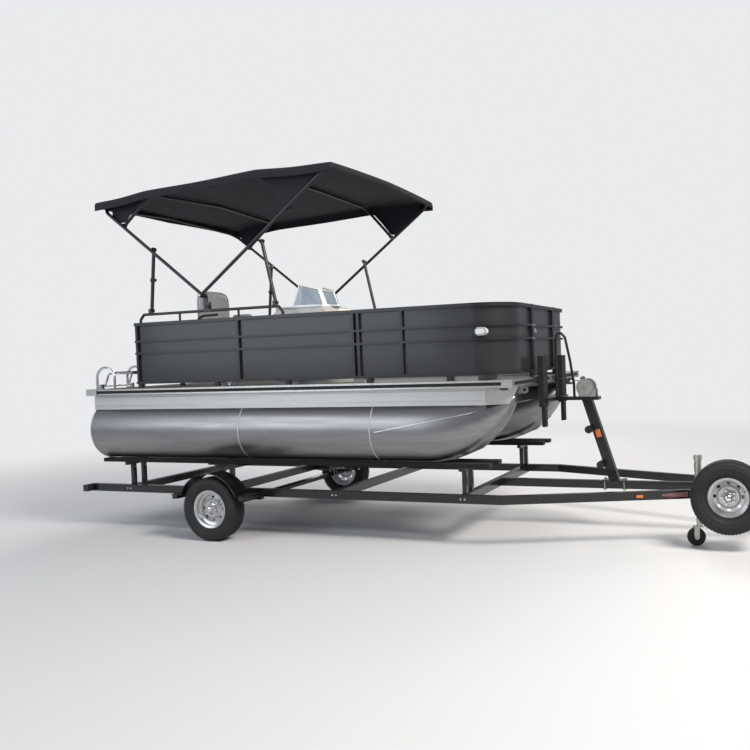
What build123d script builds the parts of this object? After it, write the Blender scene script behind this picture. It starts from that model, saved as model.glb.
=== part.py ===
from build123d import *
import math
import os

os.makedirs("parts", exist_ok=True)

# Pontoon boat on a single axle bunk trailer. Millimetres, +X forward, +Y to port, +Z up.
# Lengths along X are measured from the road axle, and save() moves them to the middle of the whole.
# Heights are measured from the ground.

# Road wheels and axle
TYRE_R = 305.0
TYRE_W = 175.0
RIM_R = 182.0
RIM_W = 132.0
RIM_FLANGE = 5.0
RIM_WALL = 5.0
BEAD_R = 163.0
RIM_DROP_R = 141.0
WINDOW_COUNT = 8
SEAT_GAP = 0.3
HUB_R = 42.0
SPINDLE_R = 17.0
RUN_CLEAR = 0.05
OVERALL_W = 2590.0
WHEEL_Y = OVERALL_W / 2 - TYRE_W / 2
AXLE_TUBE_R = 30.0
AXLE_END_Y = WHEEL_Y - 75.0

# Trailer frame
RAIL_W = 51.0
RAIL_H = 76.0
RAIL_TOP = 457.0
RAIL_BOTTOM = RAIL_TOP - RAIL_H
FRAME_HALF_W = 958.0
RAIL_Y = FRAME_HALF_W - RAIL_W / 2
RAIL_REAR_X = -1790.0
RAIL_BEND_X = 2850.0
TONGUE_MEET_X = 5230.0
TONGUE_MEET_Y = RAIL_W / 2 + 14.0
COUPLER_FRONT_X = 5520.0
TAIL_BLOCK_L = 62.0
CROSS_W = 64.0
CROSS_X = {"rear": -1290.0, "axle": -140.0, "middle": 1180.0, "front": 2480.0}

# Pontoon tubes
TUBE_R = 305.0
TUBE_Y = 815.0
TUBE_Z = 1036.0
TUBE_REAR_X = -1608.0
TUBE_NOSE_X = 2140.0
WELD_RING_X = (-1600.0, 247.0, 1671.0)
WELD_RING_H = 3.0
WELD_RING_W = 9.0
# Nose sections: place along X, radius, height of the centre
NOSE_SECTIONS = (
    (TUBE_NOSE_X, TUBE_R, TUBE_Z), (2630.0, 238.0, 1101.0), (2800.0, 168.0, 1168.0), (2960.0, 40.0, 1292.0))
KEEL_T = 12.0
KEEL_OUTER = ((2080.0, 733.0), (2370.0, 751.0), (2640.0, 855.0), (2800.0, 990.0), (2990.0, 1385.0))
KEEL_INNER = ((2960.0, 1385.0), (2770.0, 1030.0), (2620.0, 905.0), (2370.0, 800.0), (2080.0, 780.0))
# Strake ends: place along X, distance from the tube's middle, height
STRAKE_ENDS = ((1724.0, 300.0, 1025.0), (2666.0, 214.0, 1196.0))
STRAKE_W = 34.0
STRAKE_T = 14.0
EYE_X = 3040.0
EYE_Z = 1369.0
EYE_PLATE_R = 34.0
EYE_HOLE_R = 15.0
EYE_PLATE_REAR_X = 2940.0
# Motor pod and transom
POD_HALF = 330.0
POD_LOW = 915.0
POD_FRONT_X = -1080.0
POD_TAIL = 20.0
TRANSOM_T = 40.0
MOTOR_BOLT_SPAN = 327.0
MOTOR_BOLT_Z = 1355.0
MOTOR_BOLT_R = 6.5

# Deck
BEAM_HALF = 1143.0
DECK_REAR_X = -1560.0
DECK_FRONT_X = 3032.0
DECK_TOP = 1461.0
DECK_T = 20.0
TRIM_H = 62.0
TRIM_W = 26.0
TRIM_TOP = DECK_TOP + 5.0
RUB_H = 28.0
RUB_T = 9.0
RISER_T = 6.0
RISER_Y = 1046.0
RISER_BOTTOM = 1252.0
RISER_TOP = 1403.0
PROW_BEND_X = 2760.0
PROW_TIP_X = 3010.0
DECK_BEAM_H = 70.0
DECK_BEAM_W = 38.0
DECK_BEAM_T = 5.0
DECK_BEAM_COUNT = 12
WEB_HALF_W = 50.0
WEB_FRONT_X = 2700.0

# Fence round the deck
FENCE_HALF_W = 1015.0
FENCE_REAR_X = -1079.0
FENCE_FRONT_X = 2992.0
FENCE_CORNER_R = 350.0
FENCE_TOP = 2132.0
FENCE_BOTTOM = 1507.0
FENCE_T = 25.0
TOP_BAR_H = 32.0
BAR_H = 20.0
FOOT_BAR_H = 25.0
POST_W = 25.0
PANEL_T = 3.0
MID_BARS_Z = (1941.0, 1820.0)
SIDE_POSTS_X = (212.0, 1480.0, 1536.0, 1972.0)
BOW_GATE_HALF = 350.0
STERN_GATE_Y = (-930.0, -390.0)
GATE_GAP = 7.0
HINGE_R = 8.0
HINGE_OFF = 10.0
HINGE_H = 24.0
HINGE_Z = (1600.0, 2030.0)
HINGE_IN = 18.0
LEAF_W = 13.0
SIDE_FEET_X = (-1020.0, -61.0, 760.0, 1630.0, 2422.0)
STERN_FEET_Y = (STERN_GATE_Y[1] + 30.0, 300.0, 800.0)
STERN_POST_Y = 300.0
FOOT_W = 50.0
LIGHT_X = 2728.0
LIGHT_Z = 1884.0
LIGHT_L = 105.0
LIGHT_H = 70.0
LIGHT_OUT = 6.0

# Bimini top
BOW_R = 16.0
EYE_R = 21.0
BOW_Y = FENCE_HALF_W + 25.0
INNER_BOW_Y = BOW_Y - 42.0
STRUT_Y = FENCE_HALF_W - 40.0
STRUT_R = 17.0
HUB_X = -148.0
HUB_Z = 2356.0
RAISED_TOP = 2225.0
RAISED_X = (-935.0, 690.0)
RAISED_R = 14.0
RAISED_FOOT = 45.0
SUPPORTS_X = (-480.0, 230.0)
SUPPORT_R = 11.0
REAR_BOW_TOP = (-1372.0, 3318.0)
FRONT_BOW_TOP = (1349.0, 3449.0)
MID_REAR_PIVOT_R = 1251.0
MID_REAR_TOP = (-780.0, 3410.0)
MID_FRONT_PIVOT_R = 1264.0
MID_FRONT_TOP = (549.0, 3468.0)
BOW_CORNER_R = 130.0
BOW_GAP = 7.0
STRUT_FOOT_Z = 2250.0
REAR_STRUT_X = -855.0
FRONT_STRUT_X = 640.0
STRUT_REACH = 820.0
STRUT_EYE = 18.0
CANOPY_Y = BOW_Y + 74.0
CANOPY_T = 5.0
VALANCE = 90.0
GUSSET_STOP = 140.0
GUSSET_RISE = 45.0
# Columns: place along X, height of the sheet's upper side
CANOPY_LINE = ((-1428.0, 3402.0), (-760.0, 3466.0), (560.0, 3524.0), (1400.0, 3490.0))

# Helm, seats and ladder
CONSOLE_X = (520.0, 1130.0)
CONSOLE_Y = (-880.0, -380.0)
CONSOLE_TOP = 2200.0
SCREEN_TOP = 2412.0
SCREEN_T = 6.0
SCREEN_BASE_X = 760.0
SCREEN_TOP_X = 815.0
SCREEN_BASE_DEPTH = 345.0
SCREEN_TOP_DEPTH = 240.0
SCREEN_TOP_SHARE = 0.85
SCREEN_TILT = 15.0
WHEEL_CENTRE = (428.0, -630.0, 2060.0)
HELM_WHEEL_R = 165.0
HELM_TILT = 28.0
CHAIR_X = -190.0
CHAIR_Y = -640.0
CHAIR_SEAT_Z = 1975.0
CHAIR_TOP = 2440.0
LADDER_Y = (-900.0, -490.0)
LADDER_X = (-1715.0, -1475.0)
LADDER_TOP = 1688.0
LADDER_R = 12.5

# Winch post and bow stops
POST_FOOT = (3640.0, RAIL_TOP)
POST_HEAD = (3395.0, 1245.0)
POST_W_X = 90.0
POST_W_Y = 76.0
WINCH_PLATE_X = (3120.0, 3520.0)
WINCH_X = POST_HEAD[0] + 10.0
WINCH_GEAR_R = 84.0
STEP_R = 36.0
STEP_HALF = 110.0
STEP_AFT = 62.0
STOP_X = DECK_FRONT_X + RUB_T + 40.3
STOP_Y = 335.0
STOP_Z = (997.0, 1184.0, 1650.0)

# Jack and spare wheel
JACK_X = 4450.0
JACK_R = 29.0
JACK_TOP = 771.0
JACK_WHEEL_R = 76.0
JACK_TRAIL = 28.0
JACK_OFFSET = 100.0
JACK_BOTTOM = 330.0
CRANK_IN = 66.0
CRANK_DROP = 145.0
SPARE_X = 4703.0
SPARE_Z = 448.0
SPARE_OFFSET = 263.0
CARRIER_ARM_X = 4955.0
CARRIER_W = 50.0

ORIGIN_X = (COUPLER_FRONT_X + RAIL_REAR_X - TAIL_BLOCK_L) / 2
SIDES = (("starboard", -1), ("port", 1))


def block(x, y, z):
    """A box from three (low, high) pairs."""
    size = (x[1] - x[0], y[1] - y[0], z[1] - z[0])
    centre = ((x[0] + x[1]) / 2, (y[0] + y[1]) / 2, (z[0] + z[1]) / 2)
    return Pos(*centre) * Box(*size)


def mirrored(solid):
    """The same shape on the other side of the boat's centre plane."""
    return mirror(solid, about=Plane.XZ)


def rod(start, end, radius):
    """A round bar between two points."""
    axis = Vector(*end) - Vector(*start)
    plane = Plane(origin=start, z_dir=axis)
    return extrude(plane * Circle(radius), amount=axis.length)


def bar(start, end, width, height, across=(0, 1, 0)):
    """A rectangular bar between two points, its width along the given direction."""
    axis = Vector(*end) - Vector(*start)
    plane = Plane(origin=start, x_dir=across, z_dir=axis)
    return extrude(plane * Rectangle(width, height), amount=axis.length)


def bent_rod(points, radius, bend):
    """A round bar along straight runs joined by arcs of one bend radius."""
    path = FilletPolyline(*points, radius=bend)
    start = path @ 0
    section = Plane(origin=start, z_dir=path % 0) * Circle(radius)
    return sweep(section, path=path)


def save(node, *solids):
    """Write one node, moved so that the whole object is centred along X."""
    shape = Compound(children=[Pos(-ORIGIN_X, 0, 0) * solid for piece in solids for solid in piece.solids()])
    export_step(shape, "parts/" + node + ".step")


def wheel_rim():
    """Steel wheel: a barrel with a drop centre and a dished disc with windows and a hub bore."""
    half = RIM_W / 2
    flange = half - RIM_FLANGE
    drop_in = RIM_DROP_R - RIM_WALL
    outer = [(RIM_R, half), (RIM_R, flange + 1), (BEAD_R, flange - 5), (BEAD_R, 22), (RIM_DROP_R, 14)]
    inner = [(drop_in, 18), (BEAD_R - RIM_WALL, 26), (BEAD_R - RIM_WALL, flange - 2), (RIM_R - RIM_WALL, half)]
    low_outer = [(r, -z) for r, z in reversed(outer)]
    low_inner = [(r, -z) for r, z in reversed(inner)]
    barrel_outline = Polyline(*outer, *low_outer, *low_inner, *inner, close=True)
    barrel = revolve(Plane.XZ * make_face(barrel_outline), axis=Axis.Z)
    bore = SPINDLE_R + RUN_CLEAR
    dish_outline = [
        (bore, -30), (HUB_R, -30), (HUB_R, 11), (80, 11), (92, 0), (drop_in + 2, -6),
        (drop_in + 2, 4), (98, 9), (84, 21), (HUB_R, 21), (HUB_R, 46), (HUB_R - 10, 56), (bore, 56)]
    dish = revolve(Plane.XZ * make_face(Polyline(*dish_outline, close=True)), axis=Axis.Z)
    window = extrude(Pos(112, 0, -20) * SlotOverall(34, 24, rotation=90), amount=60)
    for turn in range(WINDOW_COUNT):
        dish -= Rot(0, 0, turn * 360.0 / WINDOW_COUNT) * window
    return barrel + dish


def tyre_ring():
    """Tyre of revolution about Z, with round shoulders and a flat tread."""
    half = TYRE_W / 2
    bead = BEAD_R + SEAT_GAP
    shoulder_r = TYRE_R - 50
    wall = Polyline((TYRE_R, -half + 42), (TYRE_R, half - 42))
    shoulder = ThreePointArc((TYRE_R, half - 42), (TYRE_R - 13, half - 13), (shoulder_r, half))
    side = Polyline((shoulder_r, half), (bead + 45, half), (bead, half - 34), (bead, -half + 34),
                    (bead + 45, -half), (shoulder_r, -half))
    shoulder_low = ThreePointArc((shoulder_r, -half), (TYRE_R - 13, -half + 13), (TYRE_R, -half + 42))
    ring = revolve(Plane.XZ * make_face([wall, shoulder, side, shoulder_low]), axis=Axis.Z)
    for turn in (0, 180):
        room = Cylinder(RIM_R + SEAT_GAP, TYRE_W, align=(Align.CENTER, Align.CENTER, Align.MIN))
        ring -= Rot(turn, 0, 0) * Pos(0, 0, RIM_W / 2 - RIM_FLANGE - 6) * room
    return ring


def facing(side):
    """Turn a wheel made about Z so that its outer face looks away from the boat."""
    return Rot(90, 0, 0) if side < 0 else Rot(-90, 0, 0)


def rail_run(side):
    """One side rail of the trailer: straight past the boat, then in to the tongue."""
    outer = FRAME_HALF_W * side
    inner = (FRAME_HALF_W - RAIL_W) * side
    slope = math.atan2(FRAME_HALF_W - RAIL_W / 2 - TONGUE_MEET_Y - RAIL_W / 2, TONGUE_MEET_X - RAIL_BEND_X)
    shift = RAIL_W * math.tan(slope / 2)
    outline = Polyline(
        (RAIL_REAR_X, outer), (RAIL_BEND_X, outer), (TONGUE_MEET_X, (TONGUE_MEET_Y + RAIL_W) * side),
        (TONGUE_MEET_X, TONGUE_MEET_Y * side), (RAIL_BEND_X - shift, inner), (RAIL_REAR_X, inner), close=True)
    return extrude(Pos(0, 0, RAIL_BOTTOM) * make_face(outline), amount=RAIL_H)


def rail_y(x):
    """Centre of the starboard side rail at a place ahead of the bend, as a positive distance."""
    share = (x - RAIL_BEND_X) / (TONGUE_MEET_X - RAIL_BEND_X)
    return RAIL_Y + share * (TONGUE_MEET_Y + RAIL_W / 2 - RAIL_Y)


RAIL_ANGLE = math.degrees(math.atan2(RAIL_Y - TONGUE_MEET_Y - RAIL_W / 2, TONGUE_MEET_X - RAIL_BEND_X))

# Trailer: rails, cross beams, tongue and coupler
side_rails = [rail_run(side) for _, side in SIDES]
save("side_rails", *side_rails)

inner_y = FRAME_HALF_W - RAIL_W
cross_beams = [
    block((x - CROSS_W / 2, x + CROSS_W / 2), (-inner_y, inner_y), (RAIL_BOTTOM, RAIL_TOP))
    for x in CROSS_X.values()]
save("cross_beams", *cross_beams)

tongue_rear = CROSS_X["front"] + CROSS_W / 2
tongue = block((tongue_rear, COUPLER_FRONT_X - 250), (-RAIL_W / 2, RAIL_W / 2), (RAIL_BOTTOM, RAIL_TOP))
gusset_outline = Polyline(
    (TONGUE_MEET_X - 230, -TONGUE_MEET_Y - RAIL_W - 60), (TONGUE_MEET_X, -TONGUE_MEET_Y - RAIL_W),
    (TONGUE_MEET_X, TONGUE_MEET_Y + RAIL_W), (TONGUE_MEET_X - 230, TONGUE_MEET_Y + RAIL_W + 60), close=True)
gusset = extrude(Pos(0, 0, RAIL_BOTTOM - 6) * make_face(gusset_outline), amount=6)
save("tongue_beam", tongue + gusset)

BALL_R = 25.4
SOCKET_R = BALL_R + 0.8
SOCKET_X = COUPLER_FRONT_X - 45.0
COUPLER_TOP = RAIL_TOP + 8.0
coupler_body = block((COUPLER_FRONT_X - 300, SOCKET_X), (-33, 33), (RAIL_TOP, COUPLER_TOP + 26))
coupler_body += block((COUPLER_FRONT_X - 250, SOCKET_X), (-33, 33), (RAIL_TOP - 40, COUPLER_TOP + 26))
coupler_nose = Pos(SOCKET_X, 0, RAIL_TOP - 40) * Cylinder(45, 60, align=(Align.CENTER, Align.CENTER, Align.MIN))
coupler_dome = Pos(SOCKET_X, 0, RAIL_TOP + 20) * Sphere(45)
coupler_dome &= block((SOCKET_X - 45, SOCKET_X + 45), (-45, 45), (RAIL_TOP + 20, RAIL_TOP + 70))
coupler = coupler_body + coupler_nose + coupler_dome
socket = Pos(SOCKET_X, 0, RAIL_TOP - 41) * Cylinder(SOCKET_R, 49, align=(Align.CENTER, Align.CENTER, Align.MIN))
coupler -= socket
coupler += rod((SOCKET_X - 70, 0, COUPLER_TOP + 20), (SOCKET_X - 150, 0, COUPLER_TOP + 75), 8)
save("coupler", coupler)

# Axle, springs, wheels and fenders
axle = rod((0, -AXLE_END_Y, TYRE_R), (0, AXLE_END_Y, TYRE_R), AXLE_TUBE_R)
for _, side in SIDES:
    axle += rod((0, side * (AXLE_END_Y - 1), TYRE_R), (0, side * (WHEEL_Y + 50), TYRE_R), SPINDLE_R)
save("axle_beam", axle)

SPRING_HALF = 330.0
SPRING_T = 24.0
springs = []
for _, side in SIDES:
    low = TYRE_R + AXLE_TUBE_R + 0.3
    arc = ThreePointArc((-SPRING_HALF, RAIL_BOTTOM - 26), (0, low), (SPRING_HALF, RAIL_BOTTOM - 26))
    top_ends = [(end * SPRING_HALF, RAIL_BOTTOM - 12) for end in (-1, 1)]
    arc_top = ThreePointArc(top_ends[0], (0, low + SPRING_T), top_ends[1])
    ends = [Line(arc @ 0, arc_top @ 0), Line(arc @ 1, arc_top @ 1)]
    leaf = make_face([arc, arc_top] + ends)
    spring = extrude(Plane.XZ * leaf, amount=45)
    spring = Pos(0, side * RAIL_Y + 22.5, 0) * spring
    hanger_y = (side * RAIL_Y - 28, side * RAIL_Y + 28)
    for end in (-SPRING_HALF, SPRING_HALF):
        spring += block((end - 25, end + 25), hanger_y, (RAIL_BOTTOM - 30, RAIL_BOTTOM))
    springs.append(spring)
save("leaf_springs", *springs)

FENDER_R = TYRE_R + 40.0
FENDER_T = 3.0
FENDER_Y = (WHEEL_Y - TYRE_W / 2 - 22, OVERALL_W / 2)
FENDER_END = 440.0
fenders = []
for _, side in SIDES:
    width = FENDER_Y[1] - FENDER_Y[0]
    middle = side * (FENDER_Y[0] + FENDER_Y[1]) / 2
    ring = Pos(0, middle, TYRE_R) * Cylinder(FENDER_R, width, rotation=(90, 0, 0))
    ring -= Pos(0, middle, TYRE_R) * Cylinder(FENDER_R - FENDER_T, width + 2, rotation=(90, 0, 0))
    ring &= block((-500, 500), (middle - width, middle + width), (FENDER_END, 900))
    reach = math.sqrt(FENDER_R ** 2 - (FENDER_END - TYRE_R) ** 2)
    y_pair = sorted((side * FENDER_Y[0], side * FENDER_Y[1]))
    step_y = sorted((side * FRAME_HALF_W, side * FENDER_Y[1]))
    ring += block((reach - 4, reach + 125), y_pair, (FENDER_END - FENDER_T, FENDER_END))
    ring += block((-reach - 125, -reach + 4), y_pair, (FENDER_END - FENDER_T, FENDER_END))
    for low, high in ((reach + 40, reach + 100), (-reach - 100, -reach - 40)):
        ring += block((low, high), step_y, (FENDER_END - FENDER_T - 38, FENDER_END - FENDER_T))
    fenders.append(ring)
save("fenders", *fenders)

for name, side in SIDES:
    place = Pos(0, side * WHEEL_Y, TYRE_R) * facing(side)
    save("rim_" + name, place * wheel_rim())
    save("tyre_" + name, place * tyre_ring())

# Bunks and their brackets
BUNK_W = 89.0
BUNK_T = 38.0
BUNK_REAR_X = -1598.0
BUNK_FRONT_X = 2750.0
BUNK_OFFSET = 118.0
BUNK_CREST_R = TUBE_R + WELD_RING_H
BUNK_TOP = TUBE_Z - math.sqrt(BUNK_CREST_R ** 2 - (BUNK_OFFSET - BUNK_W / 2) ** 2) - SEAT_GAP
BUNK_CHANNEL_H = 32.0
bunks = []
brackets = []
for _, side in SIDES:
    for place in (-1, 1):
        y = side * TUBE_Y + place * BUNK_OFFSET
        y_pair = (y - BUNK_W / 2, y + BUNK_W / 2)
        bunks.append(block((BUNK_REAR_X, BUNK_FRONT_X), y_pair, (BUNK_TOP - BUNK_T, BUNK_TOP)))
    outer_y = sorted((side * (TUBE_Y - BUNK_OFFSET - BUNK_W / 2), side * (TUBE_Y + BUNK_OFFSET + BUNK_W / 2)))
    low = BUNK_TOP - BUNK_T - BUNK_CHANNEL_H
    for key in ("rear", "axle", "front"):
        x = CROSS_X[key]
        cradle = block((x - 20, x + 20), outer_y, (low, BUNK_TOP - BUNK_T))
        for leg in (-1, 1):
            leg_y = side * TUBE_Y + leg * 70.0
            cradle += block((x - 20, x + 20), (leg_y - 20, leg_y + 20), (RAIL_TOP, low))
        brackets.append(cradle)
save("bunk_boards", *bunks)
save("bunk_brackets", *brackets)

# Tail lights and side markers
lights = []
for _, side in SIDES:
    y_pair = sorted((side * (FRAME_HALF_W - 58), side * (FRAME_HALF_W + 70)))
    lights.append(block((RAIL_REAR_X - TAIL_BLOCK_L, RAIL_REAR_X), y_pair, (RAIL_BOTTOM + 2, RAIL_TOP - 6)))
for _, side in SIDES:
    x = 3960.0
    marker = block((-32, 32), (0, 16), (RAIL_BOTTOM + 22, RAIL_TOP - 24))
    face_y = rail_y(x) + RAIL_W / 2
    if side > 0:
        lights.append(Pos(x, face_y, 0) * Rot(0, 0, -RAIL_ANGLE) * marker)
    else:
        lights.append(mirrored(Pos(x, face_y, 0) * Rot(0, 0, -RAIL_ANGLE) * marker))
save("marker_lights", *lights)

# Winch post with pegs, winch and bow stops
post = bar((POST_FOOT[0], 0, POST_FOOT[1] + 6), (POST_HEAD[0], 0, POST_HEAD[1]), POST_W_Y, POST_W_X)
post &= block((3000, 4000), (-100, 100), (RAIL_TOP + 6, POST_HEAD[1] - 20))
post += block((POST_FOOT[0] - 110, POST_FOOT[0] + 110), (-60, 60), (RAIL_TOP, RAIL_TOP + 8))
for share in (0.2, 0.62):
    px = POST_FOOT[0] + share * (POST_HEAD[0] - POST_FOOT[0])
    pz = POST_FOOT[1] + share * (POST_HEAD[1] - POST_FOOT[1])
    post += rod((px - STEP_AFT, -STEP_HALF, pz), (px - STEP_AFT, STEP_HALF, pz), STEP_R)
plate = block(WINCH_PLATE_X, (-60, 60), (POST_HEAD[1] - 24, POST_HEAD[1] + 8))
head_plate = post + plate

winch_base = POST_HEAD[1] + 8
drum_z = winch_base + WINCH_GEAR_R + 2
winch = block((WINCH_X - 75, WINCH_X + 75), (-62, 62), (winch_base, winch_base + 5))
for y in (-62, 56):
    cheek = Pos(WINCH_X - 10, y, drum_z) * Rot(-90, 0, 0) * Cylinder(
        WINCH_GEAR_R, 6, align=(Align.CENTER, Align.CENTER, Align.MIN))
    cheek += block((WINCH_X - 75, WINCH_X + 85), (y, y + 6), (winch_base, winch_base + 70))
    winch += cheek
winch += rod((WINCH_X - 10, -62, drum_z), (WINCH_X - 10, 62, drum_z), 34)
# The crank stands on the port side and points aft
crank_shaft = (WINCH_X + 50, winch_base + 40)
crank_end = (WINCH_X - 80, winch_base + 167)
winch += rod((crank_shaft[0], -62, crank_shaft[1]), (crank_shaft[0], 99, crank_shaft[1]), 9)
winch += bar((crank_shaft[0], 95, crank_shaft[1]), (crank_end[0], 95, crank_end[1]), 8, 26)
winch += rod((crank_end[0], 91, crank_end[1]), (crank_end[0], 190, crank_end[1]), 14)
save("winch", winch)

stops = []
arms = block((STOP_X + 10, WINCH_PLATE_X[0]), (-STOP_Y - 30, STOP_Y + 30), (POST_HEAD[1] - 24, POST_HEAD[1] + 8))
save("winch_post", head_plate + arms)
for _, side in SIDES:
    y = side * STOP_Y
    pad = block((STOP_X - 40, STOP_X + 10), (y - 70, y + 70), (STOP_Z[1], STOP_Z[2]))
    pad += block((STOP_X - 25, STOP_X + 10), (y - 37, y + 37), (STOP_Z[0], STOP_Z[1]))
    stops.append(pad)
save("bow_stops", *stops)

hoop_foot = POST_HEAD[1] + 8 + SEAT_GAP
hoop_points = [
    (3275, 0, hoop_foot), (3275, 0, hoop_foot + 120), (3242, 0, 1602), (3199, 0, 1823), (3135, 0, 1893),
    (3108, 0, 1800), (3102, 0, hoop_foot + 120), (3102, 0, hoop_foot),
]
save("boarding_hoop", bent_rod(hoop_points, 12.5, 30))

# Jack on the starboard rail, made standing at the origin with X along the rail and Y towards it
face_x = JACK_X - JACK_OFFSET * math.sin(math.radians(RAIL_ANGLE))
JACK_Y = -(rail_y(face_x) + RAIL_W / 2 + JACK_OFFSET * math.cos(math.radians(RAIL_ANGLE)))
jack_place = Pos(JACK_X, JACK_Y, 0) * Rot(0, 0, RAIL_ANGLE)
JACK_PIVOT_Z = (RAIL_BOTTOM + RAIL_TOP) / 2
leg_r = JACK_R - 5.0
bracket = block((-60, 60), (JACK_R + 8, JACK_R + 14), (RAIL_BOTTOM - 20, RAIL_TOP + 20))
bracket += block((-50, 50), (JACK_R + 14, JACK_OFFSET + RAIL_W / 3), (RAIL_BOTTOM + 3, RAIL_TOP - 3))
bracket = jack_place * bracket - side_rails[0]

tube = rod((0, 0, JACK_BOTTOM), (0, 0, JACK_TOP - 40), JACK_R)
tube += Pos(0, 0, JACK_TOP - 40) * Cylinder(JACK_R + 6, 40, align=(Align.CENTER, Align.CENTER, Align.MIN))
tube += rod((0, JACK_R - 6, JACK_PIVOT_Z), (0, JACK_R + 8 - SEAT_GAP, JACK_PIVOT_Z), 40)
tube -= rod((0, 0, JACK_BOTTOM - 1), (0, 0, JACK_TOP - 70), leg_r + RUN_CLEAR)
# The crank lies folded down beside the tube, on the side of the rail
crank_z = JACK_TOP - 20
tube += rod((0, 0, crank_z), (0, CRANK_IN + 6, crank_z), 7)
tube += rod((0, CRANK_IN, crank_z), (0, CRANK_IN, crank_z - CRANK_DROP), 6)
tube += rod((0, CRANK_IN, crank_z - CRANK_DROP + 90), (0, CRANK_IN, crank_z - CRANK_DROP + 10), 11)
save("jack_tube", jack_place * tube)

JACK_WHEEL_W = 36.0
crown_z = 2 * JACK_WHEEL_R + 6
cheek_y = JACK_WHEEL_W / 2 + 4
jack_leg = rod((0, 0, crown_z), (0, 0, 520), leg_r)
jack_leg += block((-JACK_TRAIL - 22, 30), (-cheek_y - 5, cheek_y + 5), (crown_z, crown_z + 8))
for y in (-cheek_y - 5, cheek_y):
    jack_leg += Pos(-JACK_TRAIL, y, JACK_WHEEL_R) * Rot(-90, 0, 0) * Cylinder(
        22, 5, align=(Align.CENTER, Align.CENTER, Align.MIN))
    jack_leg += block((-JACK_TRAIL - 22, -JACK_TRAIL + 22), (y, y + 5), (JACK_WHEEL_R, crown_z + 1))
jack_leg += rod((-JACK_TRAIL, -cheek_y - 1, JACK_WHEEL_R), (-JACK_TRAIL, cheek_y + 1, JACK_WHEEL_R), 8)
save("jack_leg", jack_place * jack_leg)

jack_wheel = Pos(-JACK_TRAIL, 0, JACK_WHEEL_R) * Rot(90, 0, 0) * (
    Cylinder(JACK_WHEEL_R, JACK_WHEEL_W) - Cylinder(8 + RUN_CLEAR, JACK_WHEEL_W + 2))
save("jack_wheel", jack_place * jack_wheel)

spare_face_y = -rail_y(SPARE_X) - SPARE_OFFSET
spare_y = spare_face_y - TYRE_W / 2
spare_place = Pos(SPARE_X, spare_y, SPARE_Z) * facing(-1)
save("spare_rim", spare_place * wheel_rim())
save("spare_tyre", spare_place * tyre_ring())
plate_y = (spare_face_y + 14, spare_face_y + 32)
carrier = rod((SPARE_X, spare_y + 30 + SEAT_GAP, SPARE_Z), (SPARE_X, spare_y + 60, SPARE_Z), 60)
carrier += rod((SPARE_X, spare_y + 55, SPARE_Z), (SPARE_X, plate_y[0] + 2, SPARE_Z), 22)
arm_x = (CARRIER_ARM_X - CARRIER_W / 2, CARRIER_ARM_X + CARRIER_W / 2)
carrier += block((SPARE_X - 35, arm_x[1]), plate_y, (RAIL_BOTTOM + 20, RAIL_TOP + 25))
carrier += block(arm_x, (plate_y[0], -rail_y(CARRIER_ARM_X)), (RAIL_BOTTOM + 20, RAIL_TOP - 10))
save("rail_brackets", bracket, carrier - side_rails[0])


# Pontoon tubes: cylinder, swept-up nose, keel strip, strake and weld rings
def pontoon(side):
    """One tube as a solid tank, with its nose drawn up to a point under the deck's front."""
    body = Pos(TUBE_REAR_X, side * TUBE_Y, TUBE_Z) * Rot(0, 90, 0) * Cylinder(
        TUBE_R, TUBE_NOSE_X - TUBE_REAR_X, align=(Align.CENTER, Align.CENTER, Align.MIN))
    rings = [Plane(origin=(x, side * TUBE_Y, z), z_dir=(1, 0, 0)) * Circle(r) for x, r, z in NOSE_SECTIONS]
    body += loft(rings)
    for x in WELD_RING_X:
        ring = Pos(x, side * TUBE_Y, TUBE_Z) * Rot(0, 90, 0)
        body += ring * (Cylinder(TUBE_R + WELD_RING_H, WELD_RING_W) - Cylinder(TUBE_R - 5, WELD_RING_W))
    keel = make_face(Polyline(*(KEEL_OUTER + KEEL_INNER), close=True))
    body += Pos(0, side * TUBE_Y + KEEL_T / 2, 0) * extrude(Plane.XZ * keel, amount=KEEL_T)
    for turn in (-1, 1):
        ends = [Vector(x, side * TUBE_Y + turn * out, z) for x, out, z in STRAKE_ENDS]
        body += bar(ends[0], ends[1], STRAKE_W, STRAKE_T, across=(0, 1, 0.1))
    plate_y = (side * TUBE_Y - KEEL_T / 2, side * TUBE_Y + KEEL_T / 2)
    eye = Pos(EYE_X, side * TUBE_Y, EYE_Z) * Rot(90, 0, 0)
    body += block((EYE_PLATE_REAR_X, EYE_X), plate_y, (EYE_Z - EYE_PLATE_R, EYE_Z + EYE_PLATE_R))
    body += eye * Cylinder(EYE_PLATE_R, KEEL_T)
    body -= eye * Cylinder(EYE_HOLE_R, 2 * KEEL_T)
    return body


pontoons = {}
for name, side in SIDES:
    pontoons[side] = pontoon(side)
    save("pontoon_" + name, pontoons[side])

# Risers, deck beams, deck, trim and rub rails
beam_low = DECK_TOP - DECK_T - DECK_BEAM_H
last_beam_x = DECK_FRONT_X - 130.0
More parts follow.
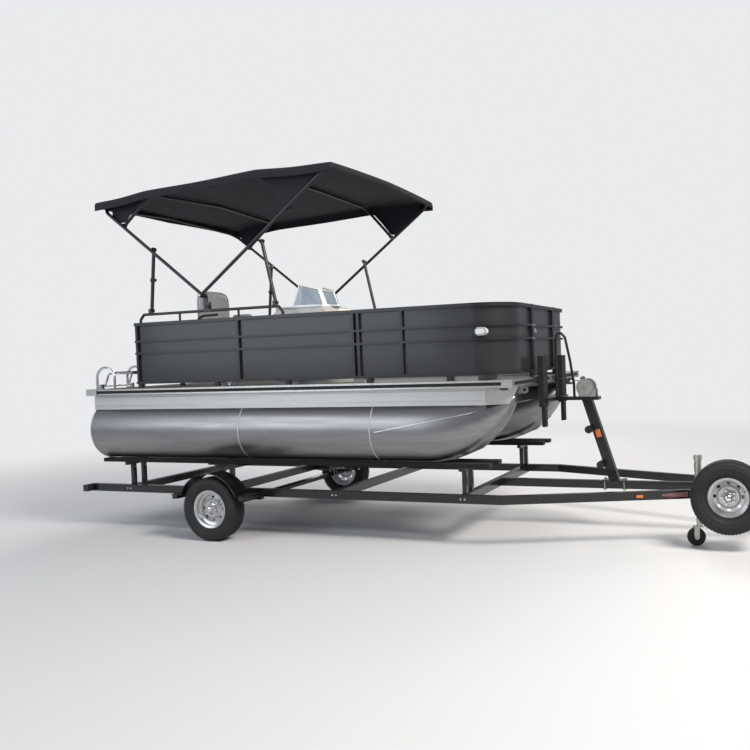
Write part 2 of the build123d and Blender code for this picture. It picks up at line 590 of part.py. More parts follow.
# The skirts end along the keel's rising edge
keel_low, keel_high = KEEL_OUTER[-2], KEEL_OUTER[-1]
keel_slope = (keel_high[0] - keel_low[0]) / (keel_high[1] - keel_low[1])
keel_foot_x = keel_high[0] + (RISER_BOTTOM - keel_high[1]) * keel_slope
keel_head_x = keel_high[0] + (RISER_TOP - keel_high[1]) * keel_slope
ahead_of_keel = Polyline(
    (keel_foot_x, RISER_BOTTOM - 1), (keel_head_x, RISER_TOP + 1), (keel_head_x + 300, RISER_TOP + 1),
    (keel_head_x + 300, RISER_BOTTOM - 1), close=True)
risers = []
for _, side in SIDES:
    outer = side * RISER_Y
    keel_y = side * (TUBE_Y + KEEL_T / 2)
    plan = Polyline(
        (TUBE_REAR_X, outer), (PROW_BEND_X, outer), (PROW_TIP_X, keel_y + side * RISER_T), (PROW_TIP_X, keel_y),
        (PROW_BEND_X - RISER_T, outer - side * RISER_T), (TUBE_REAR_X, outer - side * RISER_T), close=True)
    skirt = extrude(Pos(0, 0, RISER_BOTTOM) * make_face(plan), amount=RISER_TOP - RISER_BOTTOM)
    lip_pair = sorted((outer, outer - side * 60))
    skirt += block((TUBE_REAR_X, PROW_BEND_X - 2 * RISER_T), lip_pair, (RISER_BOTTOM, RISER_BOTTOM + 5))
    skirt -= Pos(0, RISER_Y + 10, 0) * extrude(Plane.XZ * make_face(ahead_of_keel), amount=2 * RISER_Y + 20)
    skirt -= block((last_beam_x - DECK_BEAM_W / 2 - 1, last_beam_x + DECK_BEAM_W / 2 + 1),
                   (-RISER_Y, RISER_Y), (beam_low - 1, RISER_TOP + 1))
    web_pair = (side * TUBE_Y - WEB_HALF_W, side * TUBE_Y + WEB_HALF_W)
    web_core = (web_pair[0] + RISER_T, web_pair[1] - RISER_T)
    web = block((TUBE_REAR_X + 40, WEB_FRONT_X), web_pair, (TUBE_Z + TUBE_R - 30, beam_low))
    web -= block((TUBE_REAR_X, WEB_FRONT_X + 100), web_core, (0, beam_low - RISER_T))
    risers.append(skirt - pontoons[side])
    risers.append(web - pontoons[side])
save("risers", *risers)

first_beam_x = DECK_REAR_X + 54.0
pitch = (last_beam_x - first_beam_x) / (DECK_BEAM_COUNT - 1)
deck_beams = []
for index in range(DECK_BEAM_COUNT):
    x = first_beam_x + index * pitch
    y_pair = (-RISER_Y + RISER_T + 1, RISER_Y - RISER_T - 1)
    beam = block((x - DECK_BEAM_W / 2, x + DECK_BEAM_W / 2), y_pair, (beam_low, DECK_TOP - DECK_T))
    core_z = (beam_low + DECK_BEAM_T, DECK_TOP - DECK_T - DECK_BEAM_T)
    beam -= block((x - DECK_BEAM_W / 2 + DECK_BEAM_T, x + DECK_BEAM_W), y_pair, core_z)
    deck_beams.append(beam)
save("deck_beams", *deck_beams)

deck_half = BEAM_HALF - RUB_T - TRIM_W
trim_end = 24.0
deck_x = (DECK_REAR_X + trim_end, DECK_FRONT_X - trim_end)
save("deck_panel", block(deck_x, (-deck_half, deck_half), (DECK_TOP - DECK_T, DECK_TOP)))

TRIM_CORNER = 40.0
trim_low = TRIM_TOP - TRIM_H
outer_trim = RectangleRounded(DECK_FRONT_X - DECK_REAR_X, 2 * (BEAM_HALF - RUB_T), TRIM_CORNER)
inner_trim = Rectangle(DECK_FRONT_X - DECK_REAR_X - 2 * trim_end, 2 * deck_half)
trim_place = Pos((DECK_FRONT_X + DECK_REAR_X) / 2, 0, trim_low)
trim = extrude(trim_place * (outer_trim - inner_trim), amount=TRIM_H)
save("deck_trim", trim)

rub_rails = []
for _, side in SIDES:
    y_pair = sorted((side * (BEAM_HALF - RUB_T), side * BEAM_HALF))
    middle = TRIM_TOP - TRIM_H / 2
    rub_z = (middle - RUB_H / 2, middle + RUB_H / 2)
    rub_rails.append(block((DECK_REAR_X + 90, DECK_FRONT_X - 90), y_pair, rub_z))
rub_rails.append(block((DECK_FRONT_X, DECK_FRONT_X + RUB_T), (-BEAM_HALF + 90, BEAM_HALF - 90), rub_z))
save("rub_rails", *rub_rails)

castings = []
casting_room = RectangleRounded(
    DECK_FRONT_X - DECK_REAR_X + 2 * RUN_CLEAR, 2 * (BEAM_HALF - RUB_T + RUN_CLEAR), TRIM_CORNER)
for _, side in SIDES:
    for low, high in ((DECK_REAR_X - 50, DECK_REAR_X + 88), (DECK_FRONT_X - 88, DECK_FRONT_X + 8)):
        y_pair = sorted((side * (BEAM_HALF - 60), side * (BEAM_HALF + 3)))
        casting = block((low, high), y_pair, (trim_low - 3, TRIM_TOP + 3))
        casting -= extrude(trim_place * casting_room, amount=TRIM_H)
        casting -= block((DECK_REAR_X + 60, DECK_FRONT_X - 60), (-deck_half, deck_half), (0, 3000))
        castings.append(casting)
save("corner_castings", *castings)

# Motor pod between the tubes
pod_rear = TUBE_REAR_X - POD_TAIL
pod_outline = Polyline((pod_rear, POD_LOW), (TUBE_REAR_X + 60, POD_LOW), (POD_FRONT_X, beam_low),
                       (pod_rear, beam_low), close=True)
pod = Pos(0, POD_HALF, 0) * extrude(Plane.XZ * make_face(pod_outline), amount=2 * POD_HALF)
transom = block((pod_rear - TRANSOM_T, pod_rear), (-POD_HALF, POD_HALF), (POD_LOW, DECK_TOP - TRIM_H + 4))
for y in (-MOTOR_BOLT_SPAN / 2, MOTOR_BOLT_SPAN / 2):
    transom -= rod((pod_rear - TRANSOM_T - 10, y, MOTOR_BOLT_Z), (pod_rear + 10, y, MOTOR_BOLT_Z), MOTOR_BOLT_R)
save("motor_pod", pod + transom)


# Fence: rails in rings round the deck, cut for the gates
def fence_ring(inset, thickness, low, high):
    """A closed ring of the fence's plan, set in from its outer face."""
    length = FENCE_FRONT_X - FENCE_REAR_X
    plan = Pos((FENCE_FRONT_X + FENCE_REAR_X) / 2, 0, low)
    outer = fence_plan(length - 2 * inset, 2 * (FENCE_HALF_W - inset), FENCE_CORNER_R - inset)
    inner = fence_plan(length - 2 * (inset + thickness), 2 * (FENCE_HALF_W - inset - thickness),
                       FENCE_CORNER_R - inset - thickness)
    return extrude(plan * (outer - inner), amount=high - low)


def fence_plan(length, width, radius):
    """Rectangle with its two front corners rounded and its rear corners nearly square."""
    face = Rectangle(length, width)
    front = face.vertices().sort_by(Axis.X)[-2:]
    face = fillet(front, radius)
    rear = face.vertices().sort_by(Axis.X)[:2]
    return fillet(rear, 26.0)


FAR = 4000.0
starboard_zone = block((-FAR, FAR), (-FAR, -BOW_GATE_HALF), (0, FAR))
starboard_zone -= block((-FAR, FENCE_REAR_X + 200), (STERN_GATE_Y[0], 0), (0, FAR))
# Bars: low edge, height
BARS = (
    (FENCE_TOP - TOP_BAR_H, TOP_BAR_H), (MID_BARS_Z[0] - BAR_H / 2, BAR_H),
    (MID_BARS_Z[1] - BAR_H / 2, BAR_H), (FENCE_BOTTOM, FOOT_BAR_H))
bars = [fence_ring(0, FENCE_T, low, low + height) for low, height in BARS]
panel_ring = fence_ring(FENCE_T, PANEL_T, FENCE_BOTTOM, FENCE_TOP - 6)


def fence_post(x, y):
    """A square upright between the foot bar and the top bar."""
    return block((x - POST_W / 2, x + POST_W / 2), (y - POST_W / 2, y + POST_W / 2), (FENCE_BOTTOM, FENCE_TOP))


edge = FENCE_HALF_W - POST_W / 2
front_x = FENCE_FRONT_X - POST_W / 2
rear_x = FENCE_REAR_X + POST_W / 2
gate_post = BOW_GATE_HALF + POST_W / 2
starboard_posts = [fence_post(x, -edge) for x in SIDE_POSTS_X]
starboard_posts += [fence_post(FENCE_REAR_X + 40, -edge), fence_post(front_x, -gate_post)]
port_posts = [fence_post(x, edge) for x in SIDE_POSTS_X]
port_posts += [fence_post(FENCE_REAR_X + 40, edge), fence_post(front_x, gate_post)]
port_posts += [fence_post(rear_x, STERN_GATE_Y[1] + POST_W / 2), fence_post(rear_x, STERN_POST_Y)]
port_zone = block((-FAR, FAR), (BOW_GATE_HALF, FAR), (0, FAR))
port_zone += block((-FAR, FENCE_REAR_X + 200), (STERN_GATE_Y[1], FAR), (0, FAR))


def knuckles(x, y, leaf_x, leaf_y, share):
    """Half of the two hinges of a gate: barrels about (x, y) with leaves to the frame's inner face."""
    pieces = []
    for z in HINGE_Z:
        low = z + share * (HINGE_H + SEAT_GAP)
        barrel = Pos(x, y, low) * Cylinder(HINGE_R, HINGE_H, align=(Align.CENTER, Align.CENTER, Align.MIN))
        pieces.append(barrel + block(sorted(leaf_x), sorted(leaf_y), (low, low + HINGE_H)))
    return pieces


BOW_HINGE = (FENCE_FRONT_X - FENCE_T - HINGE_OFF, BOW_GATE_HALF - GATE_GAP / 2)
STERN_HINGE = (FENCE_REAR_X + FENCE_T + HINGE_OFF, STERN_GATE_Y[1] - GATE_GAP / 2)
bow_leaf_x = (BOW_HINGE[0], FENCE_FRONT_X - FENCE_T + 1)
stern_leaf_x = (STERN_HINGE[0], FENCE_REAR_X + FENCE_T - 1)
port_posts += knuckles(*BOW_HINGE, bow_leaf_x, (BOW_GATE_HALF, BOW_GATE_HALF + LEAF_W), 0)
port_posts += knuckles(*STERN_HINGE, stern_leaf_x, (STERN_GATE_Y[1], STERN_GATE_Y[1] + LEAF_W), 0)
for name, zone, posts in (("starboard", starboard_zone, starboard_posts), ("port", port_zone, port_posts)):
    frame = posts[0]
    for piece in posts[1:]:
        frame += piece
    for ring in bars:
        frame += ring & zone
    save("fence_frame_" + name, frame)
gap_half = BOW_GATE_HALF + HINGE_IN
gateways = block((FENCE_FRONT_X - 200, FENCE_FRONT_X), (-gap_half, gap_half), (0, FAR))
gateways += block((FENCE_REAR_X, FENCE_REAR_X + 60), (STERN_GATE_Y[0], STERN_GATE_Y[1] + HINGE_IN), (0, FAR))
save("fence_panels", (panel_ring & starboard_zone) - gateways, (panel_ring & port_zone) - gateways)

feet = []
for _, side in SIDES:
    for x in SIDE_FEET_X:
        y_pair = sorted((side * (FENCE_HALF_W - 30), side * (FENCE_HALF_W - 2)))
        feet.append(block((x - FOOT_W / 2, x + FOOT_W / 2), y_pair, (DECK_TOP, FENCE_BOTTOM)))
    y_pair = sorted((side * (BOW_GATE_HALF + 5), side * (BOW_GATE_HALF + 5 + FOOT_W)))
    feet.append(block((FENCE_FRONT_X - 30, FENCE_FRONT_X - 2), y_pair, (DECK_TOP, FENCE_BOTTOM)))
for y in STERN_FEET_Y:
    y_pair = (y - FOOT_W / 2, y + FOOT_W / 2)
    feet.append(block((FENCE_REAR_X + 2, FENCE_REAR_X + 30), y_pair, (DECK_TOP, FENCE_BOTTOM)))
save("fence_feet", *feet)


def gate_leaf(ring_list, zone, x, y_low, y_high):
    """Gate frame: the fence bars inside the gateway and two uprights."""
    leaf = fence_post(x, y_low + POST_W / 2) + fence_post(x, y_high - POST_W / 2)
    for ring in ring_list:
        leaf += ring & zone
    return leaf


gate_edge = BOW_GATE_HALF - GATE_GAP
bow_zone = block((FENCE_FRONT_X - 100, FENCE_FRONT_X + 10), (-gate_edge, gate_edge), (0, FAR))
bow_leaf = gate_leaf(bars, bow_zone, front_x, -gate_edge, gate_edge)
for piece in knuckles(*BOW_HINGE, bow_leaf_x, (gate_edge - LEAF_W, gate_edge), 1):
    bow_leaf += piece
save("bow_gate_frame", bow_leaf)
bow_inner = block((FENCE_FRONT_X - 100, FENCE_FRONT_X), (-gate_edge + HINGE_IN, gate_edge - HINGE_IN), (0, FAR))
save("bow_gate_panel", panel_ring & bow_inner)
stern_low = STERN_GATE_Y[0] + GATE_GAP
stern_high = STERN_GATE_Y[1] - GATE_GAP
stern_zone = block((FENCE_REAR_X - 10, FENCE_REAR_X + 100), (stern_low, stern_high), (0, FAR))
stern_leaf = gate_leaf(bars, stern_zone, rear_x, stern_low, stern_high)
for piece in knuckles(*STERN_HINGE, stern_leaf_x, (stern_high - LEAF_W, stern_high), 1):
    stern_leaf += piece
save("stern_gate_frame", stern_leaf)
stern_inner = block((FENCE_REAR_X, FENCE_REAR_X + 100), (stern_low + HINGE_IN, stern_high - HINGE_IN), (0, FAR))
save("stern_gate_panel", panel_ring & stern_inner)

light_place = Pos(LIGHT_X, -FENCE_HALF_W + 60, LIGHT_Z) * Rot(90, 0, 0)
light = light_place * extrude(SlotOverall(LIGHT_L, LIGHT_H), amount=60 + LIGHT_OUT)
light_seat = FENCE_T - RUN_CLEAR
inside = fence_plan(
    FENCE_FRONT_X - FENCE_REAR_X - 2 * light_seat, 2 * (FENCE_HALF_W - light_seat), FENCE_CORNER_R - light_seat)
light -= extrude(Pos((FENCE_FRONT_X + FENCE_REAR_X) / 2, 0, 0) * inside, amount=FAR)
save("docking_lights", light, mirrored(light))

# Bimini: raised rails with hub brackets, four bows, two pairs of struts and the canopy
EYE_HALF = (2 * BOW_R + BOW_GAP - SEAT_GAP) / 2
FRONT_BOW_Y = BOW_Y + 2 * BOW_R + BOW_GAP
raised = []
for _, side in SIDES:
    y = side * (FENCE_HALF_W - FENCE_T / 2)
    z = RAISED_TOP - RAISED_R
    rear_foot = RAISED_X[0] - RAISED_FOOT
    front_foot = RAISED_X[1] + RAISED_FOOT
    foot_z = FENCE_TOP + SEAT_GAP
    points = [(rear_foot, y, foot_z), (rear_foot, y, foot_z + 28), (RAISED_X[0], y, z),
              (RAISED_X[1], y, z), (front_foot, y, foot_z + 28), (front_foot, y, foot_z)]
    rail = bent_rod(points, RAISED_R, 22)
    for x in SUPPORTS_X:
        rail += rod((x, y, FENCE_TOP), (x, y, z), SUPPORT_R)
    hub_y = sorted((side * (FENCE_HALF_W - 12), side * (BOW_Y - EYE_HALF - SEAT_GAP)))
    rail += block((HUB_X - 22, HUB_X + 60), hub_y, (RAISED_TOP - 24, HUB_Z - 60))
    rail += block((HUB_X - 22, HUB_X + 22), hub_y, (HUB_Z - 62, HUB_Z))
    rail += rod((HUB_X, hub_y[0], HUB_Z), (HUB_X, hub_y[1], HUB_Z), 22)
    lug_y = sorted((side * (STRUT_Y + STRUT_EYE + SEAT_GAP), side * (FENCE_HALF_W - 8)))
    for x in (REAR_STRUT_X, FRONT_STRUT_X):
        rail += block((x - 16, x + 16), lug_y, (RAISED_TOP - 20, STRUT_FOOT_Z + 16))
    raised.append(rail)
save("bimini_rails", *raised)


def reach_to_sheet(foot, out):
    """How far from its pivot the middle of a bow lies when its tube bears on the sheet's lower side."""
    reaches = []
    for (x0, z0), (x1, z1) in zip(CANOPY_LINE, CANOPY_LINE[1:]):
        slope = (z1 - z0) / (x1 - x0)
        drop = CANOPY_T + (BOW_R + SEAT_GAP) * math.hypot(1, slope)
        reaches.append((z0 + slope * (foot.X - x0) - drop - foot.Z) / (out.Z - slope * out.X))
    return min(reaches)


def bow(foot, head, half_width, corner, eye):
    """An arched tube: two straight legs from the pivots, and a cross bar that rises to its middle."""
    foot = Vector(foot[0], 0, foot[1])
    head = Vector(head[0], 0, head[1])
    out = (head - foot).normalized()
    length = (head - foot).length
    crown_r = corner * 6
    rise = reach_to_sheet(foot, out) - length
    crown = rise
    for _ in range(4):
        crown = rise + crown_r * (math.hypot(1, crown / half_width) - 1)
    plane = Plane(origin=foot, x_dir=(0, 1, 0), z_dir=Vector(0, 1, 0).cross(out))
    legs = FilletPolyline(
        (-half_width, 0), (-half_width, length), (0, length + crown), (half_width, length), (half_width, 0),
        radius=[corner, crown_r, corner])
    path = plane * legs
    section = Plane(origin=path @ 0, z_dir=path % 0) * Circle(BOW_R)
    tube = sweep(section, path=path)
    for side in (-1, 1):
        inner = (foot.X, side * (half_width - eye[0]), foot.Z)
        tube += rod(inner, (foot.X, side * (half_width + eye[1]), foot.Z), EYE_R)
    return tube


def along(angle_point, distance):
    """A point on a main leg at a distance from the hub."""
    dx = angle_point[0] - HUB_X
    dz = angle_point[1] - HUB_Z
    size = math.hypot(dx, dz)
    return (HUB_X + dx / size * distance, HUB_Z + dz / size * distance)


# The front bow's eyes lie outside the rear bow's on the same pins
rear_bow = bow((HUB_X, HUB_Z), REAR_BOW_TOP, BOW_Y, BOW_CORNER_R, (EYE_HALF, EYE_HALF))
front_bow = bow((HUB_X, HUB_Z), FRONT_BOW_TOP, FRONT_BOW_Y, BOW_CORNER_R, (EYE_HALF, EYE_HALF))
MID_REAR_PIVOT = along(REAR_BOW_TOP, MID_REAR_PIVOT_R)
MID_FRONT_PIVOT = along(FRONT_BOW_TOP, MID_FRONT_PIVOT_R)
rear_reach = BOW_Y - BOW_R - SEAT_GAP - INNER_BOW_Y
front_reach = FRONT_BOW_Y - BOW_R - SEAT_GAP - INNER_BOW_Y
mid_rear_bow = bow(MID_REAR_PIVOT, MID_REAR_TOP, INNER_BOW_Y, 90, (14, rear_reach))
mid_front_bow = bow(MID_FRONT_PIVOT, MID_FRONT_TOP, INNER_BOW_Y, 90, (14, front_reach))
save("rear_bow", rear_bow)
save("front_bow", front_bow)
save("mid_rear_bow", mid_rear_bow)
save("mid_front_bow", mid_front_bow)

# Struts: node, foot along X, the bow's leg that they carry, its half width
strut_ends = (
    ("rear_struts", REAR_STRUT_X, REAR_BOW_TOP, BOW_Y), ("front_struts", FRONT_STRUT_X, FRONT_BOW_TOP, FRONT_BOW_Y))
for node, foot_x, bow_top, bow_y in strut_ends:
    head_x, head_z = along(bow_top, STRUT_REACH)
    strut = rod((foot_x, STRUT_Y, STRUT_FOOT_Z), (head_x, STRUT_Y, head_z), STRUT_R)
    for x, z in ((foot_x, STRUT_FOOT_Z), (head_x, head_z)):
        strut += rod((x, STRUT_Y - STRUT_EYE, z), (x, STRUT_Y + STRUT_EYE, z), EYE_R)
    strut += rod((head_x, STRUT_Y, head_z), (head_x, bow_y - BOW_R - SEAT_GAP, head_z), 8)
    save(node, strut, mirrored(strut))

# Canopy: one sheet over the four bows, with short skirts at its edges and gussets between the bows' legs

def under_line(depth):
    """The canopy's profile: its top line and the same line lower down."""
    low = [(x, z - depth) for x, z in reversed(CANOPY_LINE)]
    return make_face(Polyline(*CANOPY_LINE, *low, close=True))


canopy_profile = under_line(CANOPY_T)
canopy = Pos(0, CANOPY_Y, 0) * extrude(Plane.XZ * canopy_profile, amount=2 * CANOPY_Y)
skirt_profile = under_line(VALANCE)
for side in (-1, 1):
    skirt = extrude(Plane.XZ * skirt_profile, amount=CANOPY_T)
    canopy += Pos(0, side * CANOPY_Y + (CANOPY_T if side < 0 else 0), 0) * skirt


def gusset(bow_top, pivot, inner_top, pivot_r):
    """The side panel of cloth between an outer bow's leg and the inner bow's leg, above their shared pivot."""
    reach = math.hypot(bow_top[0] - HUB_X, bow_top[1] - HUB_Z)
    upper = along(bow_top, reach - GUSSET_STOP)
    lower = along(bow_top, pivot_r + GUSSET_RISE)
    share = GUSSET_RISE / math.hypot(inner_top[0] - pivot[0], inner_top[1] - pivot[1])
    inner = (pivot[0] + share * (inner_top[0] - pivot[0]), pivot[1] + share * (inner_top[1] - pivot[1]))
    outline = Polyline(
        upper, lower, inner, inner_top, (inner_top[0], CANOPY_CEILING), (upper[0], CANOPY_CEILING), close=True)
    return extrude(Plane.XZ * make_face(outline), amount=CANOPY_T)


CANOPY_CEILING = max(z for _, z in CANOPY_LINE)
below = under_line(CANOPY_CEILING / 4)
corners = (
    (gusset(REAR_BOW_TOP, MID_REAR_PIVOT, MID_REAR_TOP, MID_REAR_PIVOT_R), BOW_Y),
    (gusset(FRONT_BOW_TOP, MID_FRONT_PIVOT, MID_FRONT_TOP, MID_FRONT_PIVOT_R), FRONT_BOW_Y))
for corner, leg_y in corners:
    gusset_y = leg_y - BOW_R - SEAT_GAP - CANOPY_T / 2
    for side in (-1, 1):
        panel = Pos(0, side * gusset_y + CANOPY_T / 2, 0) * corner
        room = Pos(0, side * gusset_y + CANOPY_T, 0) * extrude(Plane.XZ * below, amount=2 * CANOPY_T)
        canopy += panel & room
save("canopy", canopy)

# Helm console, windscreen, steering wheel, chair and seats
console_outline = Polyline(
    (CONSOLE_X[0] + 40, DECK_TOP), (CONSOLE_X[1] - 30, DECK_TOP), (CONSOLE_X[1], CONSOLE_TOP - 60),
    (CONSOLE_X[1] - 60, CONSOLE_TOP), (CONSOLE_X[0] + 60, CONSOLE_TOP), (CONSOLE_X[0] - 30, CONSOLE_TOP - 190),
    (CONSOLE_X[0] + 40, CONSOLE_TOP - 260), close=True)
console_width = CONSOLE_Y[1] - CONSOLE_Y[0]
console = Pos(0, CONSOLE_Y[1], 0) * extrude(Plane.XZ * make_face(console_outline), amount=console_width)
helm_place = Pos(*WHEEL_CENTRE) * Rot(0, -90 + HELM_TILT, 0)
boss = Pos(0, 0, -170) * Cylinder(26, 130 - SEAT_GAP, align=(Align.CENTER, Align.CENTER, Align.MIN))
save("helm_console", console + helm_place * boss)

screen_mid = (CONSOLE_Y[0] + CONSOLE_Y[1]) / 2
screen_half = (CONSOLE_Y[1] - CONSOLE_Y[0]) / 2 - 6
base_plane = Plane(origin=(SCREEN_BASE_X, screen_mid, CONSOLE_TOP))
tilt = math.radians(SCREEN_TILT)
top_plane = Plane(
    origin=(SCREEN_TOP_X, screen_mid, SCREEN_TOP), x_dir=(math.cos(tilt), 0, -math.sin(tilt)),
    z_dir=(math.sin(tilt), 0, math.cos(tilt)))


def screen_section(plane, depth, half, thickness):
    """A U-shaped section, open to the rear."""
    outer = Ellipse(depth, half) & Pos(depth, 0) * Rectangle(2 * depth, 4 * half)
    inner = Ellipse(depth - thickness, half - thickness) & Pos(depth, 0) * Rectangle(2 * depth, 4 * half)
    return plane * outer, plane * inner


outer_low, inner_low = screen_section(base_plane, SCREEN_BASE_DEPTH, screen_half, SCREEN_T)
outer_top, inner_top = screen_section(top_plane, SCREEN_TOP_DEPTH, screen_half * SCREEN_TOP_SHARE, SCREEN_T)
screen = loft([outer_low, outer_top]) - loft([inner_low, inner_top])
save("windscreen", screen)

helm_ring = Torus(HELM_WHEEL_R, 13)
helm = helm_ring + Cylinder(42, 24)
for turn in (90, 210, 330):
    helm += Rot(0, 0, turn) * Pos(HELM_WHEEL_R / 2 + 10, 0, 0) * Box(HELM_WHEEL_R - 20, 26, 10)
helm += Pos(0, 0, -40) * Cylinder(16, 36, align=(Align.CENTER, Align.CENTER, Align.MIN))
save("steering_wheel", helm_place * helm)

pedestal = Pos(CHAIR_X, CHAIR_Y, DECK_TOP) * Cylinder(150, 8, align=(Align.CENTER, Align.CENTER, Align.MIN))
pedestal += Pos(CHAIR_X, CHAIR_Y, DECK_TOP) * Cylinder(36, CHAIR_SEAT_Z - DECK_TOP - 20.3,
                                                      align=(Align.CENTER, Align.CENTER, Align.MIN))
save("chair_pedestal", pedestal)
seat = Pos(CHAIR_X, CHAIR_Y, CHAIR_SEAT_Z) * extrude(RectangleRounded(440, 460, 90), amount=120)
seat += Pos(CHAIR_X, CHAIR_Y, CHAIR_SEAT_Z - 20) * Cylinder(90, 20, align=(Align.CENTER, Align.CENTER, Align.MIN))
back_outline = RectangleRounded(460, CHAIR_TOP - CHAIR_SEAT_Z - 80, 100)
back_middle = (CHAIR_X - 222, CHAIR_Y, (CHAIR_TOP + CHAIR_SEAT_Z + 80) / 2)
back_plane = Plane(origin=back_middle, x_dir=(0, 1, 0), z_dir=(1, 0, 0))
seat += extrude(back_plane * back_outline, amount=95)
save("chair_seat", seat)

SEAT_H = 330.0
CUSHION_T = 95.0
SEAT_DEPTH = 480.0
WALL_IN = FENCE_HALF_W - FENCE_T - PANEL_T - 3
# Benches: low x, high x, side
BENCHES = ((1560.0, 2680.0, -1), (1560.0, 2680.0, 1), (-1000.0, 260.0, 1))
bases = []
cushions = []
backs = []
for low, high, side in BENCHES:
    y_pair = sorted((side * (WALL_IN - SEAT_DEPTH), side * WALL_IN))
    bases.append(block((low, high), y_pair, (DECK_TOP, DECK_TOP + SEAT_H)))
    seat_y = sorted((side * (WALL_IN - SEAT_DEPTH), side * (WALL_IN - 118)))
    cushions.append(block((low, high), seat_y, (DECK_TOP + SEAT_H + 0.3, DECK_TOP + SEAT_H + CUSHION_T)))
    back_y = sorted((side * (WALL_IN - 110), side * WALL_IN))
    backs.append(block((low, high), back_y, (DECK_TOP + SEAT_H + 0.3, FENCE_TOP - 20)))
save("bench_bases", *bases)
save("bench_cushions", *cushions, *backs)

# Stern ladder: two fixed hoops and a folding pair of rails with treads
hoops = []
for y in LADDER_Y:
    foot = DECK_TOP + SEAT_GAP
    points = [(LADDER_X[0], y, DECK_TOP - 45), (LADDER_X[0], y, LADDER_TOP), (LADDER_X[1], y, LADDER_TOP),
              (LADDER_X[1], y, foot)]
    hoops.append(bent_rod(points, LADDER_R, (LADDER_X[1] - LADDER_X[0]) / 2 - 1))
FOLD_X = DECK_REAR_X - 95.0
FOLD_Z = TRIM_TOP + 26.0
LUG_IN = 18.0
lugs = []
for y in LADDER_Y:
    lugs.append(block((LADDER_X[0] - 15, DECK_REAR_X), (y - LUG_IN, y + LUG_IN), (trim_low, trim_low + 30)))
    lugs.append(block((FOLD_X - 18, FOLD_X + 18), (y - LUG_IN, y + LUG_IN), (trim_low, FOLD_Z + 18)))
hand_rails = [hoops[0] + lugs[0] + lugs[1], hoops[1] + lugs[2] + lugs[3]]
save("ladder_handrails", *hand_rails)

rail_y_pair = (LADDER_Y[0] + 45, LADDER_Y[1] - 45)
steps = None
for y in rail_y_pair:
    run = [(FOLD_X, y, FOLD_Z), (FOLD_X + 60, y, FOLD_Z + 130), (FOLD_X + 380, y, FOLD_Z + 130)]
    piece = bent_rod(run, 11, 40)
    steps = piece if steps is None else steps + piece
pin_in = LUG_IN + SEAT_GAP
steps += rod((FOLD_X, LADDER_Y[0] + pin_in, FOLD_Z), (FOLD_X, LADDER_Y[1] - pin_in, FOLD_Z), 11)
for x in (FOLD_X + 130, FOLD_X + 360):
    steps += block((x - 30, x + 30), rail_y_pair, (FOLD_Z + 118, FOLD_Z + 142))
save("ladder_steps", steps)
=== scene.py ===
import bmesh
import bpy
import math
from mathutils import Matrix, Vector
from mathutils.bvhtree import BVHTree


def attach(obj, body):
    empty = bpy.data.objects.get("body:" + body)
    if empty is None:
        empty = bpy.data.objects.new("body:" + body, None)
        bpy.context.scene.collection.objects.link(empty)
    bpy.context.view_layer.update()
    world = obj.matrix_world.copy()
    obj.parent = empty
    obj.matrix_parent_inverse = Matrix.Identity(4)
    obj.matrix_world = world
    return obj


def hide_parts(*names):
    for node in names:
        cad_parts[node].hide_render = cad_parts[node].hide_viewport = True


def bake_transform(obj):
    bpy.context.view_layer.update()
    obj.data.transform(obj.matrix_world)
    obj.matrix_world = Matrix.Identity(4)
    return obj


bl_info = {
    "name": "Pontoon Boat On Trailer",
    "version": (1, 0, 0),
    "blender": (4, 5, 0),
    "location": "View3D > Sidebar > Boat",
    "description": "Dresses a pontoon boat, its folding top and its trailer with finishes, seats, tyres and fittings",
    "category": "Object",
}

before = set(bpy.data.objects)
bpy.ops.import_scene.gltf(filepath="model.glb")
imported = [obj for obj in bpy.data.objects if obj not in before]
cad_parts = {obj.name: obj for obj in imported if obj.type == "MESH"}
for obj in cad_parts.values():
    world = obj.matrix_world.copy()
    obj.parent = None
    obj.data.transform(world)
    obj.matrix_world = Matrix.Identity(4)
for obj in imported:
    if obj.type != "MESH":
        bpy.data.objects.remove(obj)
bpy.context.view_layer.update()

HULL = "boat_and_trailer"
AXLE_X = 1.834

# Shared places, in millimetres from the road axle, the centre line and the ground
WHEEL_Y, WHEEL_Z = 1207.5, 305.0
TUBE_Y, TUBE_Z = 815, 1036
HELM_Y, CHAIR_Y = -630, -640
STAY_Y, STAY_FEET = 975, (-855, 640)
STAY_FOOT_Z = 2250
RAIL_Y, RAIL_Z = 932.5, 419
DRUM_X, DRUM_Z = 3395, 1339
JACK_X, JACK_Y = 4450, -481.24
# Angle at which the trailer's front rails run in to the coupler
RAIL_ANGLE = math.radians(20.03)

SIDES = (("starboard", -1), ("port", 1))
ALONG_X, ALONG_Y, UP = (1, 0, 0), (0, 1, 0), (0, 0, 1)
# Wheels: name, centre, body that each turns with, side that faces out
WHEEL_PLACES = (
    ("starboard", (0.0, -WHEEL_Y, WHEEL_Z), "wheel_starboard", -1),
    ("port", (0.0, WHEEL_Y, WHEEL_Z), "wheel_port", 1),
    ("spare", (4703.0, -632.5, 448.0), HULL, -1),
)


